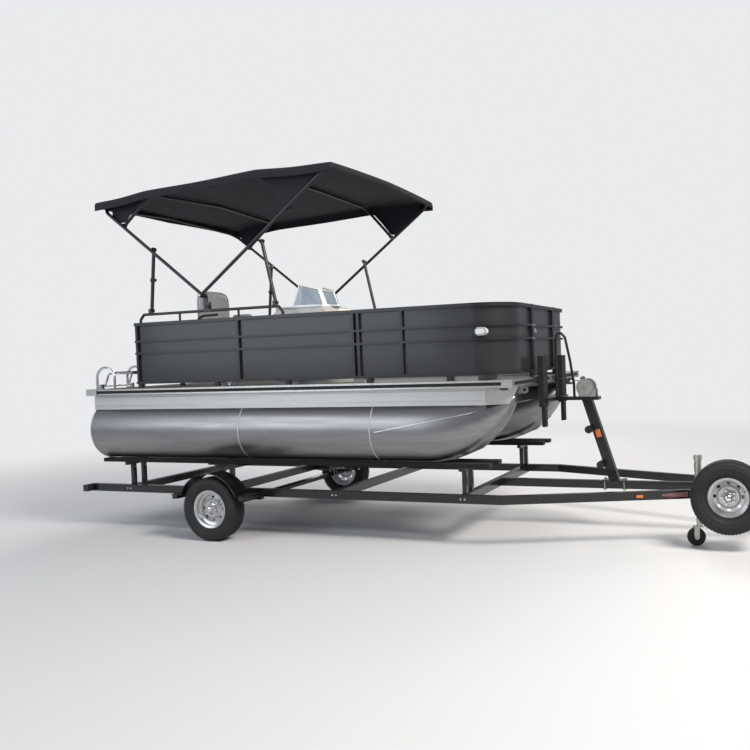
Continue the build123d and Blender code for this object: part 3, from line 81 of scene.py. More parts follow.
class BoatSizes(bpy.types.PropertyGroup):
    """Sizes of the pieces that this file adds to the frame."""
    tyre_radius: bpy.props.FloatProperty(
        name="Tyre Radius", description="Outer radius of the road tyres", default=0.305, unit="LENGTH")
    tread_blocks: bpy.props.IntProperty(
        name="Tread Blocks", description="Blocks round each shoulder of a tyre", default=64, min=8)
    nut_count: bpy.props.IntProperty(
        name="Wheel Nuts", description="Nuts on each wheel", default=5, min=3)
    screw_pitch: bpy.props.FloatProperty(
        name="Screw Pitch", description="Distance between the screws along the deck trim", default=0.2, unit="LENGTH")
    canopy_skirt: bpy.props.FloatProperty(
        name="Canopy Skirt", description="Depth of the cloth that hangs at the canopy's sides", default=0.09,
        unit="LENGTH")
    canopy_sag: bpy.props.FloatProperty(
        name="Canopy Sag", description="How far the cloth sinks between two bows", default=0.012, unit="LENGTH")
    bead_count: bpy.props.IntProperty(
        name="Weld Ripples", description="Ripples in each weld round a tube", default=260, min=24)
    piping_radius: bpy.props.FloatProperty(
        name="Piping Radius", description="Radius of the piping sewn round a cushion", default=0.0045, unit="LENGTH")


class BoatColours(bpy.types.PropertyGroup):
    """Colours of the main finishes."""
    panel: bpy.props.FloatVectorProperty(
        name="Fence Panels", description="Colour of the fence's sheet panels", subtype="COLOR", size=3,
        default=(0.024, 0.0245, 0.027))
    tube: bpy.props.FloatVectorProperty(
        name="Pontoon Tubes", description="Colour of the bare aluminium tubes", subtype="COLOR", size=3,
        default=(0.35, 0.345, 0.35))
    cloth: bpy.props.FloatVectorProperty(
        name="Canopy Cloth", description="Colour of the canopy", subtype="COLOR", size=3,
        default=(0.006, 0.0065, 0.011))
    vinyl: bpy.props.FloatVectorProperty(
        name="Seat Vinyl", description="Colour of the seats", subtype="COLOR", size=3, default=(0.36, 0.36, 0.37))
    trailer: bpy.props.FloatVectorProperty(
        name="Trailer Paint", description="Colour of the trailer's frame", subtype="COLOR", size=3,
        default=(0.005, 0.005, 0.006))


def at(x, y, z):
    """A place in millimetres from the road axle and the ground, as metres in the frame."""
    return Vector((x / 1000 - AXLE_X, y / 1000, z / 1000))


# Node trees

def empty_tree(name, kind, inputs, outputs):
    """An empty node tree with named sockets, and its input and output nodes."""
    tree = bpy.data.node_groups.new(name, kind)
    for label, socket_kind, value in inputs:
        socket = tree.interface.new_socket(name=label, in_out="INPUT", socket_type="NodeSocket" + socket_kind)
        if value is not None:
            socket.default_value = value
    for label, socket_kind in outputs:
        tree.interface.new_socket(name=label, in_out="OUTPUT", socket_type="NodeSocket" + socket_kind)
    return tree, tree.nodes.new("NodeGroupInput"), tree.nodes.new("NodeGroupOutput")


def new_node(tree, kind, values=(), **settings):
    """A node with its settings and the values of its inputs, given by name or number."""
    made = tree.nodes.new(kind)
    for name, value in settings.items():
        setattr(made, name, value)
    for label, value in dict(values).items():
        made.inputs[label].default_value = value
    return made


def wire(first, output, second, entry):
    """A link from a node's output to another node's input."""
    first.id_data.links.new(first.outputs[output], second.inputs[entry])


def maths(tree, operation, first, second):
    """The result of a Math node on sockets or numbers."""
    made = new_node(tree, "ShaderNodeMath", operation=operation)
    for index, value in enumerate((first, second)):
        if isinstance(value, (int, float)):
            made.inputs[index].default_value = value
        else:
            tree.links.new(value, made.inputs[index])
    return made.outputs[0]


# Shader groups

def worn_grain_group():
    """Patches of stain and fine grain over one colour."""
    group, start, end = empty_tree(
        "Worn Grain", "ShaderNodeTree",
        [("Place", "Vector", None), ("Colour", "Color", (0.5, 0.5, 0.5, 1)), ("Stain", "Color", (0.2, 0.2, 0.2, 1)),
         ("Stain Amount", "Float", 0.3), ("Patch Scale", "Float", 3.0), ("Grain Scale", "Float", 200.0),
         ("Grain Shade", "Float", 0.15), ("Roughness", "Float", 0.4), ("Roughness Spread", "Float", 0.15)],
        [("Colour", "Color"), ("Roughness", "Float"), ("Height", "Float")])
    patch = new_node(group, "ShaderNodeTexNoise", {"Detail": 6.0, "Roughness": 0.6})
    grain = new_node(group, "ShaderNodeTexNoise", {"Detail": 3.0})
    for noise, label in ((patch, "Patch Scale"), (grain, "Grain Scale")):
        wire(start, "Place", noise, "Vector")
        wire(start, label, noise, "Scale")
    # Stain starts where the patches pass the first level and is full at the second
    spread = new_node(group, "ShaderNodeMapRange", {"From Min": 0.38, "From Max": 0.68})
    wire(patch, "Fac", spread, "Value")
    amount = maths(group, "MULTIPLY", spread.outputs["Result"], start.outputs["Stain Amount"])
    stain = new_node(group, "ShaderNodeMix", data_type="RGBA")
    group.links.new(amount, stain.inputs["Factor"])
    # A colour Mix node has its colours at inputs 6 and 7 and its result at output 2
    wire(start, "Colour", stain, 6)
    wire(start, "Stain", stain, 7)
    shade = new_node(group, "ShaderNodeMix", data_type="RGBA", blend_type="MULTIPLY")
    wire(start, "Grain Shade", shade, "Factor")
    wire(stain, 2, shade, 6)
    # The grain darkens its low places and lightens its high ones
    tone = new_node(group, "ShaderNodeMapRange", {"From Min": 0.3, "From Max": 0.7, "To Min": 0.35, "To Max": 1.25})
    wire(grain, "Fac", tone, "Value")
    wire(tone, "Result", shade, 7)
    wire(shade, 2, end, "Colour")
    swing = maths(group, "SUBTRACT", patch.outputs["Fac"], 0.5)
    fine = maths(group, "SUBTRACT", grain.outputs["Fac"], 0.5)
    scaled = maths(group, "MULTIPLY", maths(group, "ADD", swing, fine), start.outputs["Roughness Spread"])
    group.links.new(maths(group, "ADD", scaled, start.outputs["Roughness"]), end.inputs["Roughness"])
    wire(grain, "Fac", end, "Height")
    return group


def weave_group():
    """Crossed threads, as a height."""
    group, start, end = empty_tree("Cloth Weave", "ShaderNodeTree",
                                   [("Place", "Vector", None), ("Threads", "Float", 300.0)], [("Height", "Float")])
    heights = []
    for direction in ("X", "Y"):
        wave = new_node(group, "ShaderNodeTexWave", {"Distortion": 0.4}, bands_direction=direction)
        wire(start, "Place", wave, "Vector")
        wire(start, "Threads", wave, "Scale")
        heights.append(wave.outputs["Fac"])
    group.links.new(maths(group, "MAXIMUM", *heights), end.inputs["Height"])
    return group


def pebble_group():
    """Rounded pebbles of leather or moulded plastic, as a height."""
    group, start, end = empty_tree("Pebble Grain", "ShaderNodeTree",
                                   [("Place", "Vector", None), ("Pebbles", "Float", 400.0)], [("Height", "Float")])
    cells = new_node(group, "ShaderNodeTexVoronoi", feature="SMOOTH_F1")
    wire(start, "Place", cells, "Vector")
    wire(start, "Pebbles", cells, "Scale")
    wire(cells, "Distance", end, "Height")
    return group


# Geometry node trees

def geometry_tree(name, inputs):
    """An empty geometry tree with named inputs and a finish."""
    return empty_tree(
        name, "GeometryNodeTree", [("Geometry", "Geometry", None), *inputs, ("Finish", "Material", None)],
        [("Geometry", "Geometry")])


def end_tree(tree, start, end, points, shape, turn):
    """The shape on every point, turned, made real and given its finish. It returns the node that spreads it."""
    spread = tree.nodes.new("GeometryNodeInstanceOnPoints")
    wire(*points, spread, "Points")
    wire(*shape, spread, "Instance")
    wire(turn, "Rotation", spread, "Rotation")
    real = tree.nodes.new("GeometryNodeRealizeInstances")
    paint = tree.nodes.new("GeometryNodeSetMaterial")
    wire(spread, "Instances", real, "Geometry")
    wire(real, "Geometry", paint, "Geometry")
    wire(start, "Finish", paint, "Material")
    wire(paint, "Geometry", end, "Geometry")
    return spread


def fastener_tree():
    """A screw head or nut on each vertex, standing along the vertex's aim."""
    tree, start, end = geometry_tree(
        "Fastener Heads", [("Head Radius", "Float", 0.005), ("Head Height", "Float", 0.003), ("Sides", "Int", 10)])
    head = tree.nodes.new("GeometryNodeMeshCylinder")
    crown = tree.nodes.new("GeometryNodeMeshCone")
    wire(start, "Sides", head, "Vertices")
    wire(start, "Head Radius", head, "Radius")
    wire(start, "Head Height", head, "Depth")
    wire(start, "Sides", crown, "Vertices")
    # The crown is a low cone on the head, as shares of the head's radius and height
    for source, share, entry in (("Head Radius", 0.62, "Radius Top"), ("Head Radius", 0.9, "Radius Bottom"),
                                 ("Head Height", 0.35, "Depth")):
        tree.links.new(maths(tree, "MULTIPLY", start.outputs[source], share), crown.inputs[entry])
    lift = tree.nodes.new("ShaderNodeCombineXYZ")
    tree.links.new(maths(tree, "MULTIPLY", start.outputs["Head Height"], 0.5), lift.inputs["Z"])
    raised = tree.nodes.new("GeometryNodeTransform")
    wire(crown, "Mesh", raised, "Geometry")
    wire(lift, "Vector", raised, "Translation")
    both = tree.nodes.new("GeometryNodeJoinGeometry")
    wire(head, "Mesh", both, "Geometry")
    wire(raised, "Geometry", both, "Geometry")
    aim = new_node(tree, "GeometryNodeInputNamedAttribute", {"Name": "aim"}, data_type="FLOAT_VECTOR")
    turn = new_node(tree, "FunctionNodeAlignRotationToVector", axis="Z")
    wire(aim, "Attribute", turn, "Vector")
    end_tree(tree, start, end, (start, "Geometry"), (both, "Geometry"), turn)
    return tree


def ring_tree(name, shape_kind, shape_values):
    """Small pieces of one shape, evenly round a circle about Z."""
    tree, start, end = geometry_tree(
        name, [("Ring Radius", "Float", 0.3), ("Count", "Int", 48), ("Piece Length", "Float", 0.01),
               ("Piece Width", "Float", 0.01), ("Piece Height", "Float", 0.005)])
    circle = tree.nodes.new("GeometryNodeMeshCircle")
    wire(start, "Count", circle, "Vertices")
    wire(start, "Ring Radius", circle, "Radius")
    size = tree.nodes.new("ShaderNodeCombineXYZ")
    for label, way in (("Piece Height", "X"), ("Piece Length", "Y"), ("Piece Width", "Z")):
        wire(start, label, size, way)
    shape = new_node(tree, shape_kind, shape_values)
    place = tree.nodes.new("GeometryNodeInputPosition")
    turn = new_node(tree, "FunctionNodeAlignRotationToVector", axis="X", pivot_axis="Z")
    wire(place, "Position", turn, "Vector")
    spread = end_tree(tree, start, end, (circle, "Mesh"), (shape, "Mesh"), turn)
    wire(size, "Vector", spread, "Scale")
    return tree


TREE_MAKERS = {
    "grain": worn_grain_group, "weave": weave_group, "pebble": pebble_group, "heads": fastener_tree,
    "welds": lambda: ring_tree("Weld Ripples", "GeometryNodeMeshIcoSphere", {"Radius": 0.5, "Subdivisions": 2}),
    "tread": lambda: ring_tree("Tread Blocks", "GeometryNodeMeshCube", {}),
    "teeth": lambda: ring_tree("Gear Teeth", "GeometryNodeMeshCube", {}),
}
TREES = {}


def tree_named(name):
    """The shader group or geometry tree of that name, built at its first use."""
    if name not in TREES:
        TREES[name] = TREE_MAKERS[name]()
    return TREES[name]


# Finishes

def look(colour, stain, amount, rough, spread, patch, grain, shade, bump, **more):
    """One finish: colour, stain and its amount, roughness and its spread, patch and grain scale, shade, bump."""
    return dict(colour=colour, stain=stain, amount=amount, rough=rough, spread=spread, patch=patch, grain=grain,
                shade=shade, bump=bump, **more)


FINISHES = {
    "tube metal": look((0.35, 0.345, 0.35), (0.22, 0.215, 0.22), 0.5, 0.36, 0.22, 1.4, 60, 0.35, 0.05,
                       metal=1.0, stretch=(1, 14, 14)),
    "skirt metal": look((0.66, 0.655, 0.64), (0.5, 0.49, 0.47), 0.3, 0.42, 0.15, 1.5, 40, 0.18, 0.03,
                        metal=0.85, stretch=(1, 30, 30)),
    "bright metal": look((0.70, 0.69, 0.66), (0.5, 0.49, 0.46), 0.25, 0.3, 0.12, 4, 60, 0.15, 0.03,
                         metal=1.0, stretch=(1, 20, 20)),
    "weld metal": look((0.74, 0.73, 0.71), (0.45, 0.43, 0.4), 0.4, 0.33, 0.2, 30, 300, 0.2, 0.1, metal=1.0),
    "zinc plate": look((0.56, 0.56, 0.53), (0.36, 0.35, 0.32), 0.5, 0.42, 0.25, 18, 160, 0.25, 0.06, metal=0.9),
    "polished metal": look((0.76, 0.76, 0.76), (0.6, 0.6, 0.6), 0.2, 0.13, 0.08, 8, 200, 0.05, 0.01, metal=1.0),
    "wheel silver": look((0.60, 0.605, 0.61), (0.30, 0.28, 0.26), 0.35, 0.3, 0.15, 14, 400, 0.1, 0.02,
                         metal=0.75, coat=0.4),
    "black tube": look((0.010, 0.010, 0.011), (0.03, 0.029, 0.027), 0.25, 0.4, 0.15, 6, 500, 0.2, 0.05, coat=0.15),
    "fence panel": look((0.024, 0.0245, 0.027), (0.040, 0.039, 0.038), 0.4, 0.36, 0.12, 2.2, 700, 0.15, 0.02,
                        metal=0.15, coat=0.25),
    "trailer paint": look((0.005, 0.005, 0.006), (0.03, 0.027, 0.024), 0.15, 0.26, 0.2, 7, 260, 0.2, 0.04, coat=0.3),
    "black plastic": look((0.018, 0.018, 0.019), (0.05, 0.05, 0.048), 0.3, 0.55, 0.15, 9, 600, 0.2, 0.06,
                          relief="pebble", count=700),
    "black rubber": look((0.008, 0.008, 0.008), (0.035, 0.033, 0.03), 0.25, 0.72, 0.15, 8, 380, 0.3, 0.12),
    "tyre rubber": look((0.011, 0.011, 0.012), (0.045, 0.042, 0.038), 0.3, 0.74, 0.16, 9, 320, 0.3, 0.15),
    "bunk carpet": look((0.007, 0.007, 0.0075), (0.022, 0.02, 0.018), 0.35, 0.95, 0.05, 5, 900, 0.5, 0.7, sheen=0.05),
    "deck floor": look((0.17, 0.165, 0.16), (0.10, 0.098, 0.095), 0.4, 0.8, 0.1, 3, 600, 0.4, 0.35,
                       relief="weave", count=260),
    "moulded cream": look((0.62, 0.60, 0.56), (0.45, 0.43, 0.39), 0.25, 0.32, 0.12, 6, 500, 0.06, 0.02, coat=0.35),
    "gloss white": look((0.80, 0.80, 0.79), (0.55, 0.54, 0.5), 0.15, 0.18, 0.08, 12, 500, 0.04, 0.01, coat=0.5),
    "seat vinyl": look((0.36, 0.36, 0.37), (0.24, 0.24, 0.24), 0.25, 0.42, 0.12, 7, 500, 0.08, 0.22,
                       relief="pebble", count=520),
    "bench vinyl": look((0.50, 0.48, 0.44), (0.34, 0.32, 0.29), 0.25, 0.44, 0.12, 6, 500, 0.08, 0.22,
                        relief="pebble", count=520),
    "piping": look((0.05, 0.05, 0.055), (0.1, 0.1, 0.1), 0.2, 0.45, 0.1, 12, 500, 0.1, 0.08),
    "canopy cloth": look((0.006, 0.0065, 0.011), (0.016, 0.017, 0.023), 0.5, 0.82, 0.1, 1.6, 500, 0.3, 0.3,
                         relief="weave", count=520, sheen=0.04, place="UV"),
    "gusset cloth": look((0.006, 0.0065, 0.011), (0.016, 0.017, 0.023), 0.5, 0.82, 0.1, 1.6, 500, 0.3, 0.3,
                         relief="pebble", count=520, sheen=0.04),
    "webbing": look((0.018, 0.018, 0.022), (0.05, 0.05, 0.05), 0.3, 0.8, 0.1, 8, 500, 0.3, 0.3,
                    relief="weave", count=420),
    "red lens": look((0.42, 0.012, 0.010), (0.25, 0.01, 0.01), 0.3, 0.16, 0.05, 20, 300, 0.1, 0.15,
                     relief="weave", count=140, coat=0.8),
    "amber lens": look((0.80, 0.17, 0.012), (0.5, 0.1, 0.01), 0.3, 0.16, 0.05, 20, 300, 0.1, 0.15,
                       relief="weave", count=140, coat=0.8),
    "clear lens": look((0.74, 0.77, 0.8), (0.6, 0.62, 0.65), 0.2, 0.08, 0.04, 20, 300, 0.05, 0.08,
                       relief="weave", count=90, coat=1.0),
    "red stripe": look((0.20, 0.085, 0.085), (0.10, 0.05, 0.05), 0.3, 0.3, 0.1, 10, 300, 0.1, 0.02, coat=0.4),
    "tinted screen": look((0.52, 0.60, 0.70), (0.46, 0.54, 0.64), 0.2, 0.04, 0.03, 6, 200, 0.02, 0.0, glass=0.6),
    "gauge face": look((0.02, 0.02, 0.022), (0.05, 0.05, 0.05), 0.2, 0.2, 0.05, 30, 400, 0.05, 0.0, coat=1.0),
}


COAT_ROUGHNESS = 0.12
BUMP_DISTANCE = 0.0015
# Share of the grain's height that is left on a finish with a relief
GRAIN_UNDER_RELIEF = 0.3


def build_finish(name):
    """A material with worn grain, an optional relief and its own shader."""
    spec = FINISHES[name]
    material = bpy.data.materials.new(name)
    material.use_nodes = True
    tree = material.node_tree
    shader = tree.nodes["Principled BSDF"]
    coordinates = tree.nodes.new("ShaderNodeTexCoord")
    place = spec.get("place", "Object")
    mapping = new_node(tree, "ShaderNodeMapping", {"Scale": spec.get("stretch", (1, 1, 1))})
    wire(coordinates, place, mapping, "Vector")
    grain = new_node(tree, "ShaderNodeGroup", node_tree=tree_named("grain"))
    wire(mapping, "Vector", grain, "Place")
    for label, value in (
            ("Colour", (*spec["colour"], 1)), ("Stain", (*spec["stain"], 1)), ("Stain Amount", spec["amount"]),
            ("Patch Scale", spec["patch"]), ("Grain Scale", spec["grain"]), ("Grain Shade", spec["shade"]),
            ("Roughness", spec["rough"]), ("Roughness Spread", spec["spread"])):
        grain.inputs[label].default_value = value
    wire(grain, "Colour", shader, "Base Color")
    wire(grain, "Roughness", shader, "Roughness")
    for label, key in (("Metallic", "metal"), ("Coat Weight", "coat"), ("Sheen Weight", "sheen"),
                       ("Transmission Weight", "glass")):
        shader.inputs[label].default_value = spec.get(key, 0.0)
    shader.inputs["Coat Roughness"].default_value = COAT_ROUGHNESS
    height = grain.outputs["Height"]
    if "relief" in spec:
        relief = new_node(tree, "ShaderNodeGroup", node_tree=tree_named(spec["relief"]))
        relief.inputs["Threads" if spec["relief"] == "weave" else "Pebbles"].default_value = spec["count"]
        wire(coordinates, place, relief, "Place")
        height = maths(tree, "ADD", relief.outputs["Height"], maths(tree, "MULTIPLY", height, GRAIN_UNDER_RELIEF))
    if spec["bump"] > 0:
        bump = new_node(tree, "ShaderNodeBump", {"Strength": spec["bump"], "Distance": BUMP_DISTANCE})
        tree.links.new(height, bump.inputs["Height"])
        wire(bump, "Normal", shader, "Normal")
    return material


def finish(name):
    """The material of that name, built at its first use."""
    return bpy.data.materials.get(name) or build_finish(name)


# Finish: the CAD nodes that wear it
FINISH_NODES = {
    "tube metal": ("pontoon_starboard", "pontoon_port"),
    "skirt metal": ("risers", "deck_beams", "motor_pod"),
    "bright metal": ("deck_trim", "corner_castings"),
    "deck floor": ("deck_panel",),
    "black tube": ("fence_frame_starboard", "fence_frame_port", "bow_gate_frame", "stern_gate_frame", "bimini_rails",
                   "rear_bow", "front_bow", "mid_rear_bow", "mid_front_bow", "rear_struts", "front_struts",
                   "boarding_hoop"),
    "fence panel": ("fence_panels", "bow_gate_panel", "stern_gate_panel"),
    "black plastic": ("fence_feet", "steering_wheel", "marker_lights"),
    "gloss white": ("docking_lights",),
    "moulded cream": ("helm_console", "bench_bases"),
    "tinted screen": ("windscreen",),
    "polished metal": ("chair_pedestal", "ladder_handrails", "ladder_steps"),
    "trailer paint": ("side_rails", "cross_beams", "tongue_beam", "axle_beam", "leaf_springs", "fenders",
                      "bunk_brackets", "winch_post"),
    "zinc plate": ("coupler", "winch", "rail_brackets", "jack_tube", "jack_leg"),
    "wheel silver": ("rim_starboard", "rim_port", "spare_rim"),
    "bunk carpet": ("bunk_boards",),
    "black rubber": ("rub_rails", "bow_stops", "jack_wheel"),
}
NODE_FINISHES = {node: finish_name for finish_name, nodes in FINISH_NODES.items() for node in nodes}


# Mesh helpers

def placed(name, data):
    """A new object with that data, in the scene."""
    made = bpy.data.objects.new(name, data)
    bpy.context.scene.collection.objects.link(made)
    return made


def towards(axis):
    """A turn that takes +Z to the given direction."""
    return Vector(axis).to_track_quat("Z", "Y").to_matrix()


def round_angles(count, start=0.0):
    """Equal steps round a circle, in radians."""
    return [2 * math.pi * (step + start) / count for step in range(count)]


def skin(bm, rings, loop=False):
    """Faces between neighbouring rings, where a ring of one vertex is a point."""
    count = max(len(ring) for ring in rings)
    pairs = list(zip(rings, rings[1:]))
    if loop:
        pairs.append((rings[-1], rings[0]))
    for first, second in pairs:
        for step in range(count):
            after = (step + 1) % count
            corners = dict.fromkeys((first[step % len(first)], first[after % len(first)],
                                     second[after % len(second)], second[step % len(second)]))
            if len(corners) >= 3:
                bm.faces.new(list(corners))


def edges_at(verts):
    """The edges at some vertices, each once and in a steady order."""
    return list(dict.fromkeys(edge for vert in verts for edge in vert.link_edges))


def add_box(bm, low, high, bevel=0.002, turn=None):
    """A bevelled box between two corners, turned about its own centre if a matrix is given."""
    low, high = Vector(low), Vector(high)
    size = [abs(c) for c in (high - low)]
    made = bmesh.ops.create_cube(bm, size=1.0)["verts"]
    bmesh.ops.scale(bm, vec=size, verts=made)
    if bevel:
        width = min(bevel, min(size) * 0.3)
        rounded = bmesh.ops.bevel(bm, geom=edges_at(made), offset=width, segments=2, affect="EDGES", profile=0.5)
        corners = [vert for face in rounded["faces"] for vert in face.verts]
        made = list(dict.fromkeys(corners + [vert for vert in made if vert.is_valid]))
    matrix = Matrix.Translation((low + high) / 2)
    if turn is not None:
        matrix = matrix @ turn.to_4x4()
    bmesh.ops.transform(bm, matrix=matrix, verts=made)


def add_block(bm, centre, half, bevel=0.002, turn=None):
    """A box about its centre, given by half its size."""
    add_box(bm, centre - Vector(half), centre + Vector(half), bevel, turn)


def add_lathe(bm, profile, origin, axis, count=32, closed=True):
    """A profile of (radius, height) pairs turned about an axis; a closed one is a ring."""
    turn = towards(axis)
    rings = []
    for radius, height in profile:
        angles = round_angles(count) if radius > 0 else [0.0]
        rings.append([bm.verts.new(turn @ Vector((radius * math.cos(angle), radius * math.sin(angle), height))
                                   + Vector(origin)) for angle in angles])
    skin(bm, rings, closed)


def add_disc(bm, origin, axis, radius, height, count=24, bevel=0.0015):
    """A solid round boss standing on its origin, with a broken edge."""
    edge = min(bevel, height * 0.4, radius * 0.4)
    profile = [(0, 0), (radius, 0), (radius, height - edge), (radius - edge, height), (0, height)]
    add_lathe(bm, profile, origin, axis, count, closed=False)


def add_tube(bm, points, radius, count=12, loop=False):
    """A round tube along points, its ends closed unless it is a loop."""
    points = [Vector(p) for p in points]
    last = len(points) - 1
    side = None
    rings = []
    for index, point in enumerate(points):
        before = points[(index - 1) % len(points)] if loop or index > 0 else point
        after = points[(index + 1) % len(points)] if loop or index < last else point
        way = (after - before).normalized()
        if side is None:
            side = way.orthogonal().normalized()
            if abs(way.z) < 0.9:
                side = way.cross(Vector(UP)).normalized()
        side = (side - way * side.dot(way)).normalized()
        up = way.cross(side)
        rings.append([bm.verts.new(point + side * radius * math.cos(angle) + up * radius * math.sin(angle))
                      for angle in round_angles(count)])
    skin(bm, rings, loop)
    if not loop:
        bm.faces.new(rings[0])
        bm.faces.new(rings[-1])


def add_prism(bm, outline, low, high):
    """A closed outline of (x, z) places drawn along Y from low to high."""
    ends = [[bm.verts.new((x, level, z)) for x, z in outline] for level in (low, high)]
    skin(bm, ends)
    for end in ends:
        bm.faces.new(end)


def mesh_piece(name, mesh, finish_name, body, replaces=(), angle=35.0):
    """A ready mesh as an object with its finish, riding on its body."""
    mesh.materials.clear()
    mesh.materials.append(finish(finish_name))
    mesh.polygons.foreach_set("use_smooth", [True] * len(mesh.polygons))
    mesh.set_sharp_from_angle(angle=math.radians(angle))
    made = placed(name, mesh)
    if replaces:
        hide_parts(*replaces)
    if body:
        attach(made, body)
    return made


def piece(name, bm, finish_name, body, replaces=(), angle=35.0):
    """The mesh being built as an object in its place, with its finish, riding on its body."""
    bmesh.ops.remove_doubles(bm, verts=bm.verts, dist=1e-6)
    bmesh.ops.recalc_face_normals(bm, faces=bm.faces)
    mesh = bpy.data.meshes.new(name)
    bm.to_mesh(mesh)
    bm.free()
    return mesh_piece(name, mesh, finish_name, body, replaces, angle)


def grown(tree_name, values, finish_name, base=None):
    """The mesh that a tree makes from named values, in place of its modifier."""
    tree = tree_named(tree_name)
    holder = placed("seed", base or bpy.data.meshes.new("seed"))
    modifier = holder.modifiers.new("grow", "NODES")
    modifier.node_group = tree
    named = {item.name: item.identifier for item in tree.interface.items_tree if item.in_out == "INPUT"}
    for label, value in {**values, "Finish": finish(finish_name)}.items():
        modifier[named[label]] = value
    bpy.context.view_layer.update()
    ready = holder.evaluated_get(bpy.context.evaluated_depsgraph_get())
    result = bpy.data.meshes.new_from_object(ready)
    holder.modifiers.remove(modifier)
    bpy.data.objects.remove(holder)
    return result


def heads(name, places, radius, height, sides, finish_name, body):
    """Screw heads or nuts at (place, aim) pairs as one piece."""
    base = bpy.data.meshes.new("heads")
    base.from_pydata([list(place) for place, _ in places], [], [])
    aims = base.attributes.new("aim", "FLOAT_VECTOR", "POINT")
    aims.data.foreach_set("vector", [value for _, aim in places for value in Vector(aim).normalized()])
    mesh = grown("heads", {"Head Radius": radius, "Head Height": height, "Sides": sides}, finish_name, base)
    return mesh_piece(name, mesh, finish_name, body)


def add_ring(bm, tree_name, count, radius, size, finish_name, origin, axis):
    """A ring of small pieces about an axis, each of one length, width and height."""
    length, width, height = size
    mesh = grown(tree_name, {"Ring Radius": radius, "Count": count, "Piece Length": length, "Piece Width": width,
                             "Piece Height": height}, finish_name)
    mesh.transform(Matrix.Translation(Vector(origin)) @ towards(axis).to_4x4())
    bm.from_mesh(mesh)


# Pieces

def dress_nodes():
    """Every CAD node gets its finish."""
    for name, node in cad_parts.items():
        if name in NODE_FINISHES:
            for material_slot in node.material_slots:
                material_slot.material = finish(NODE_FINISHES[name])


# Half of a tyre's section from the bead to the middle of the tread: radius, half width
TYRE_HALF = (
    (0.1636, 0.0500), (0.1832, 0.0545), (0.1834, 0.0680), (0.1950, 0.0770), (0.2060, 0.0822), (0.2080, 0.0838),
    (0.2100, 0.0822), (0.2250, 0.0862), (0.2420, 0.0872), (0.2440, 0.0885), (0.2460, 0.0872), (0.2640, 0.0856),
    (0.2800, 0.0800), (0.2890, 0.0730), (0.2950, 0.0650), (0.3000, 0.0560), (0.3030, 0.0470), (0.3038, 0.0400),
    (0.2970, 0.0385), (0.2970, 0.0320), (0.3044, 0.0305), (0.3050, 0.0140), (0.2975, 0.0125), (0.2975, 0.0065),
    (0.3050, 0.0050))


def make_tyres(sizes):
    """Tyres with ribs, grooves, shoulder blocks and sidewall rings."""
    scale = sizes.tyre_radius / 0.305
    half = [(radius * scale, height) for radius, height in TYRE_HALF]
    profile = half + [(radius, -height) for radius, height in reversed(half)]
    for name, place, body, _ in WHEEL_PLACES:
        origin = at(*place)
        bm = bmesh.new()
        add_lathe(bm, profile, origin, ALONG_Y, 96)
        for level in (-0.0625, 0.0625):
            add_ring(bm, "tread", sizes.tread_blocks, 0.2945 * scale, (0.017, 0.020, 0.0125), "tyre rubber",
                     origin + Vector((0, level, 0)), ALONG_Y)
        node = "spare_tyre" if name == "spare" else "tyre_" + name
        piece("detail_tyre_" + name, bm, "tyre rubber", body, (node,), 40.0)


def make_wheel_fittings(sizes):
    """Wheel nuts, hub caps and valves."""
    nut_circle = 0.057
    cap = [(0, 0.0565), (0.031, 0.0565), (0.031, 0.066), (0.028, 0.073), (0.020, 0.079), (0.010, 0.0815), (0, 0.082)]
    cap_seat = [(0.0425, 0.0215), (0.052, 0.0215), (0.050, 0.027), (0.0425, 0.029)]
    for name, place, body, side in WHEEL_PLACES:
        origin = at(*place)
        out = Vector((0, side, 0))
        places = []
        for angle in round_angles(sizes.nut_count, 0.5):
            spoke = Vector((math.cos(angle), 0, math.sin(angle)))
            places.append((origin + spoke * nut_circle + out * 0.0285, out))
        heads("wheel_nuts_" + name, places, 0.0105, 0.016, 6, "polished metal", body)
        bm = bmesh.new()
        if name == "spare":
            add_disc(bm, origin + out * 0.010, out, 0.0165, 0.046, 20)
        add_lathe(bm, cap, origin, out, 32, closed=False)
        add_lathe(bm, cap_seat, origin, out, 32)
        piece("hub_cap_" + name, bm, "polished metal", body)
        bm = bmesh.new()
        valve = origin + Vector((0.128, 0, 0.052)) + out * 0.010
        add_tube(bm, [valve, valve + out * 0.030, valve + out * 0.034], 0.0045, 10)
        add_disc(bm, valve + out * 0.034, out, 0.0055, 0.010, 10)
        piece("valve_" + name, bm, "black rubber", body)


# Canopy rows: place along X, height of the crown, drop at the sides
CANOPY_ROWS = ((-1471.0, 3394.0, 24.0), (-760.0, 3462.0, 30.0), (560.0, 3520.0, 30.0), (1400.0, 3486.0, 20.0))
# Half the width over which the crown drops
CROWN_HALF = 1060.0
# Ends of the cloth at its sides, and how far the bows push them out at the middle
REAR_END, REAR_BULGE = -1394.0, 77.0
FRONT_END, FRONT_BULGE = 1371.0, 27.0
# Ripples between the bows: height, lengths along and across
RIPPLE_HEIGHT, RIPPLE_X, RIPPLE_Y = 2.0, 46.0, 180.0
# Folds pulled near the sides: height, length across, and the middle and width of their band as shares
FOLD_HEIGHT, FOLD_Y, FOLD_BAND, FOLD_WIDTH = 2.4, 55.0, 0.93, 0.16
# Side panels of cloth between two legs: name, body, leg's upper and lower place, inner leg's lower and upper place, y
GUSSETS = (
    ("rear", HULL, (-1262.0, 3231.5), (-1167.0, 3156.8), (-1096.4, 3157.1), (-800.0, 3394.0), 1021.2),
    ("front", "canopy_front", (1236.0, 3366.4), (909.2, 3127.9), (843.1, 3135.1), (565.0, 3450.0), 1060.2),
)


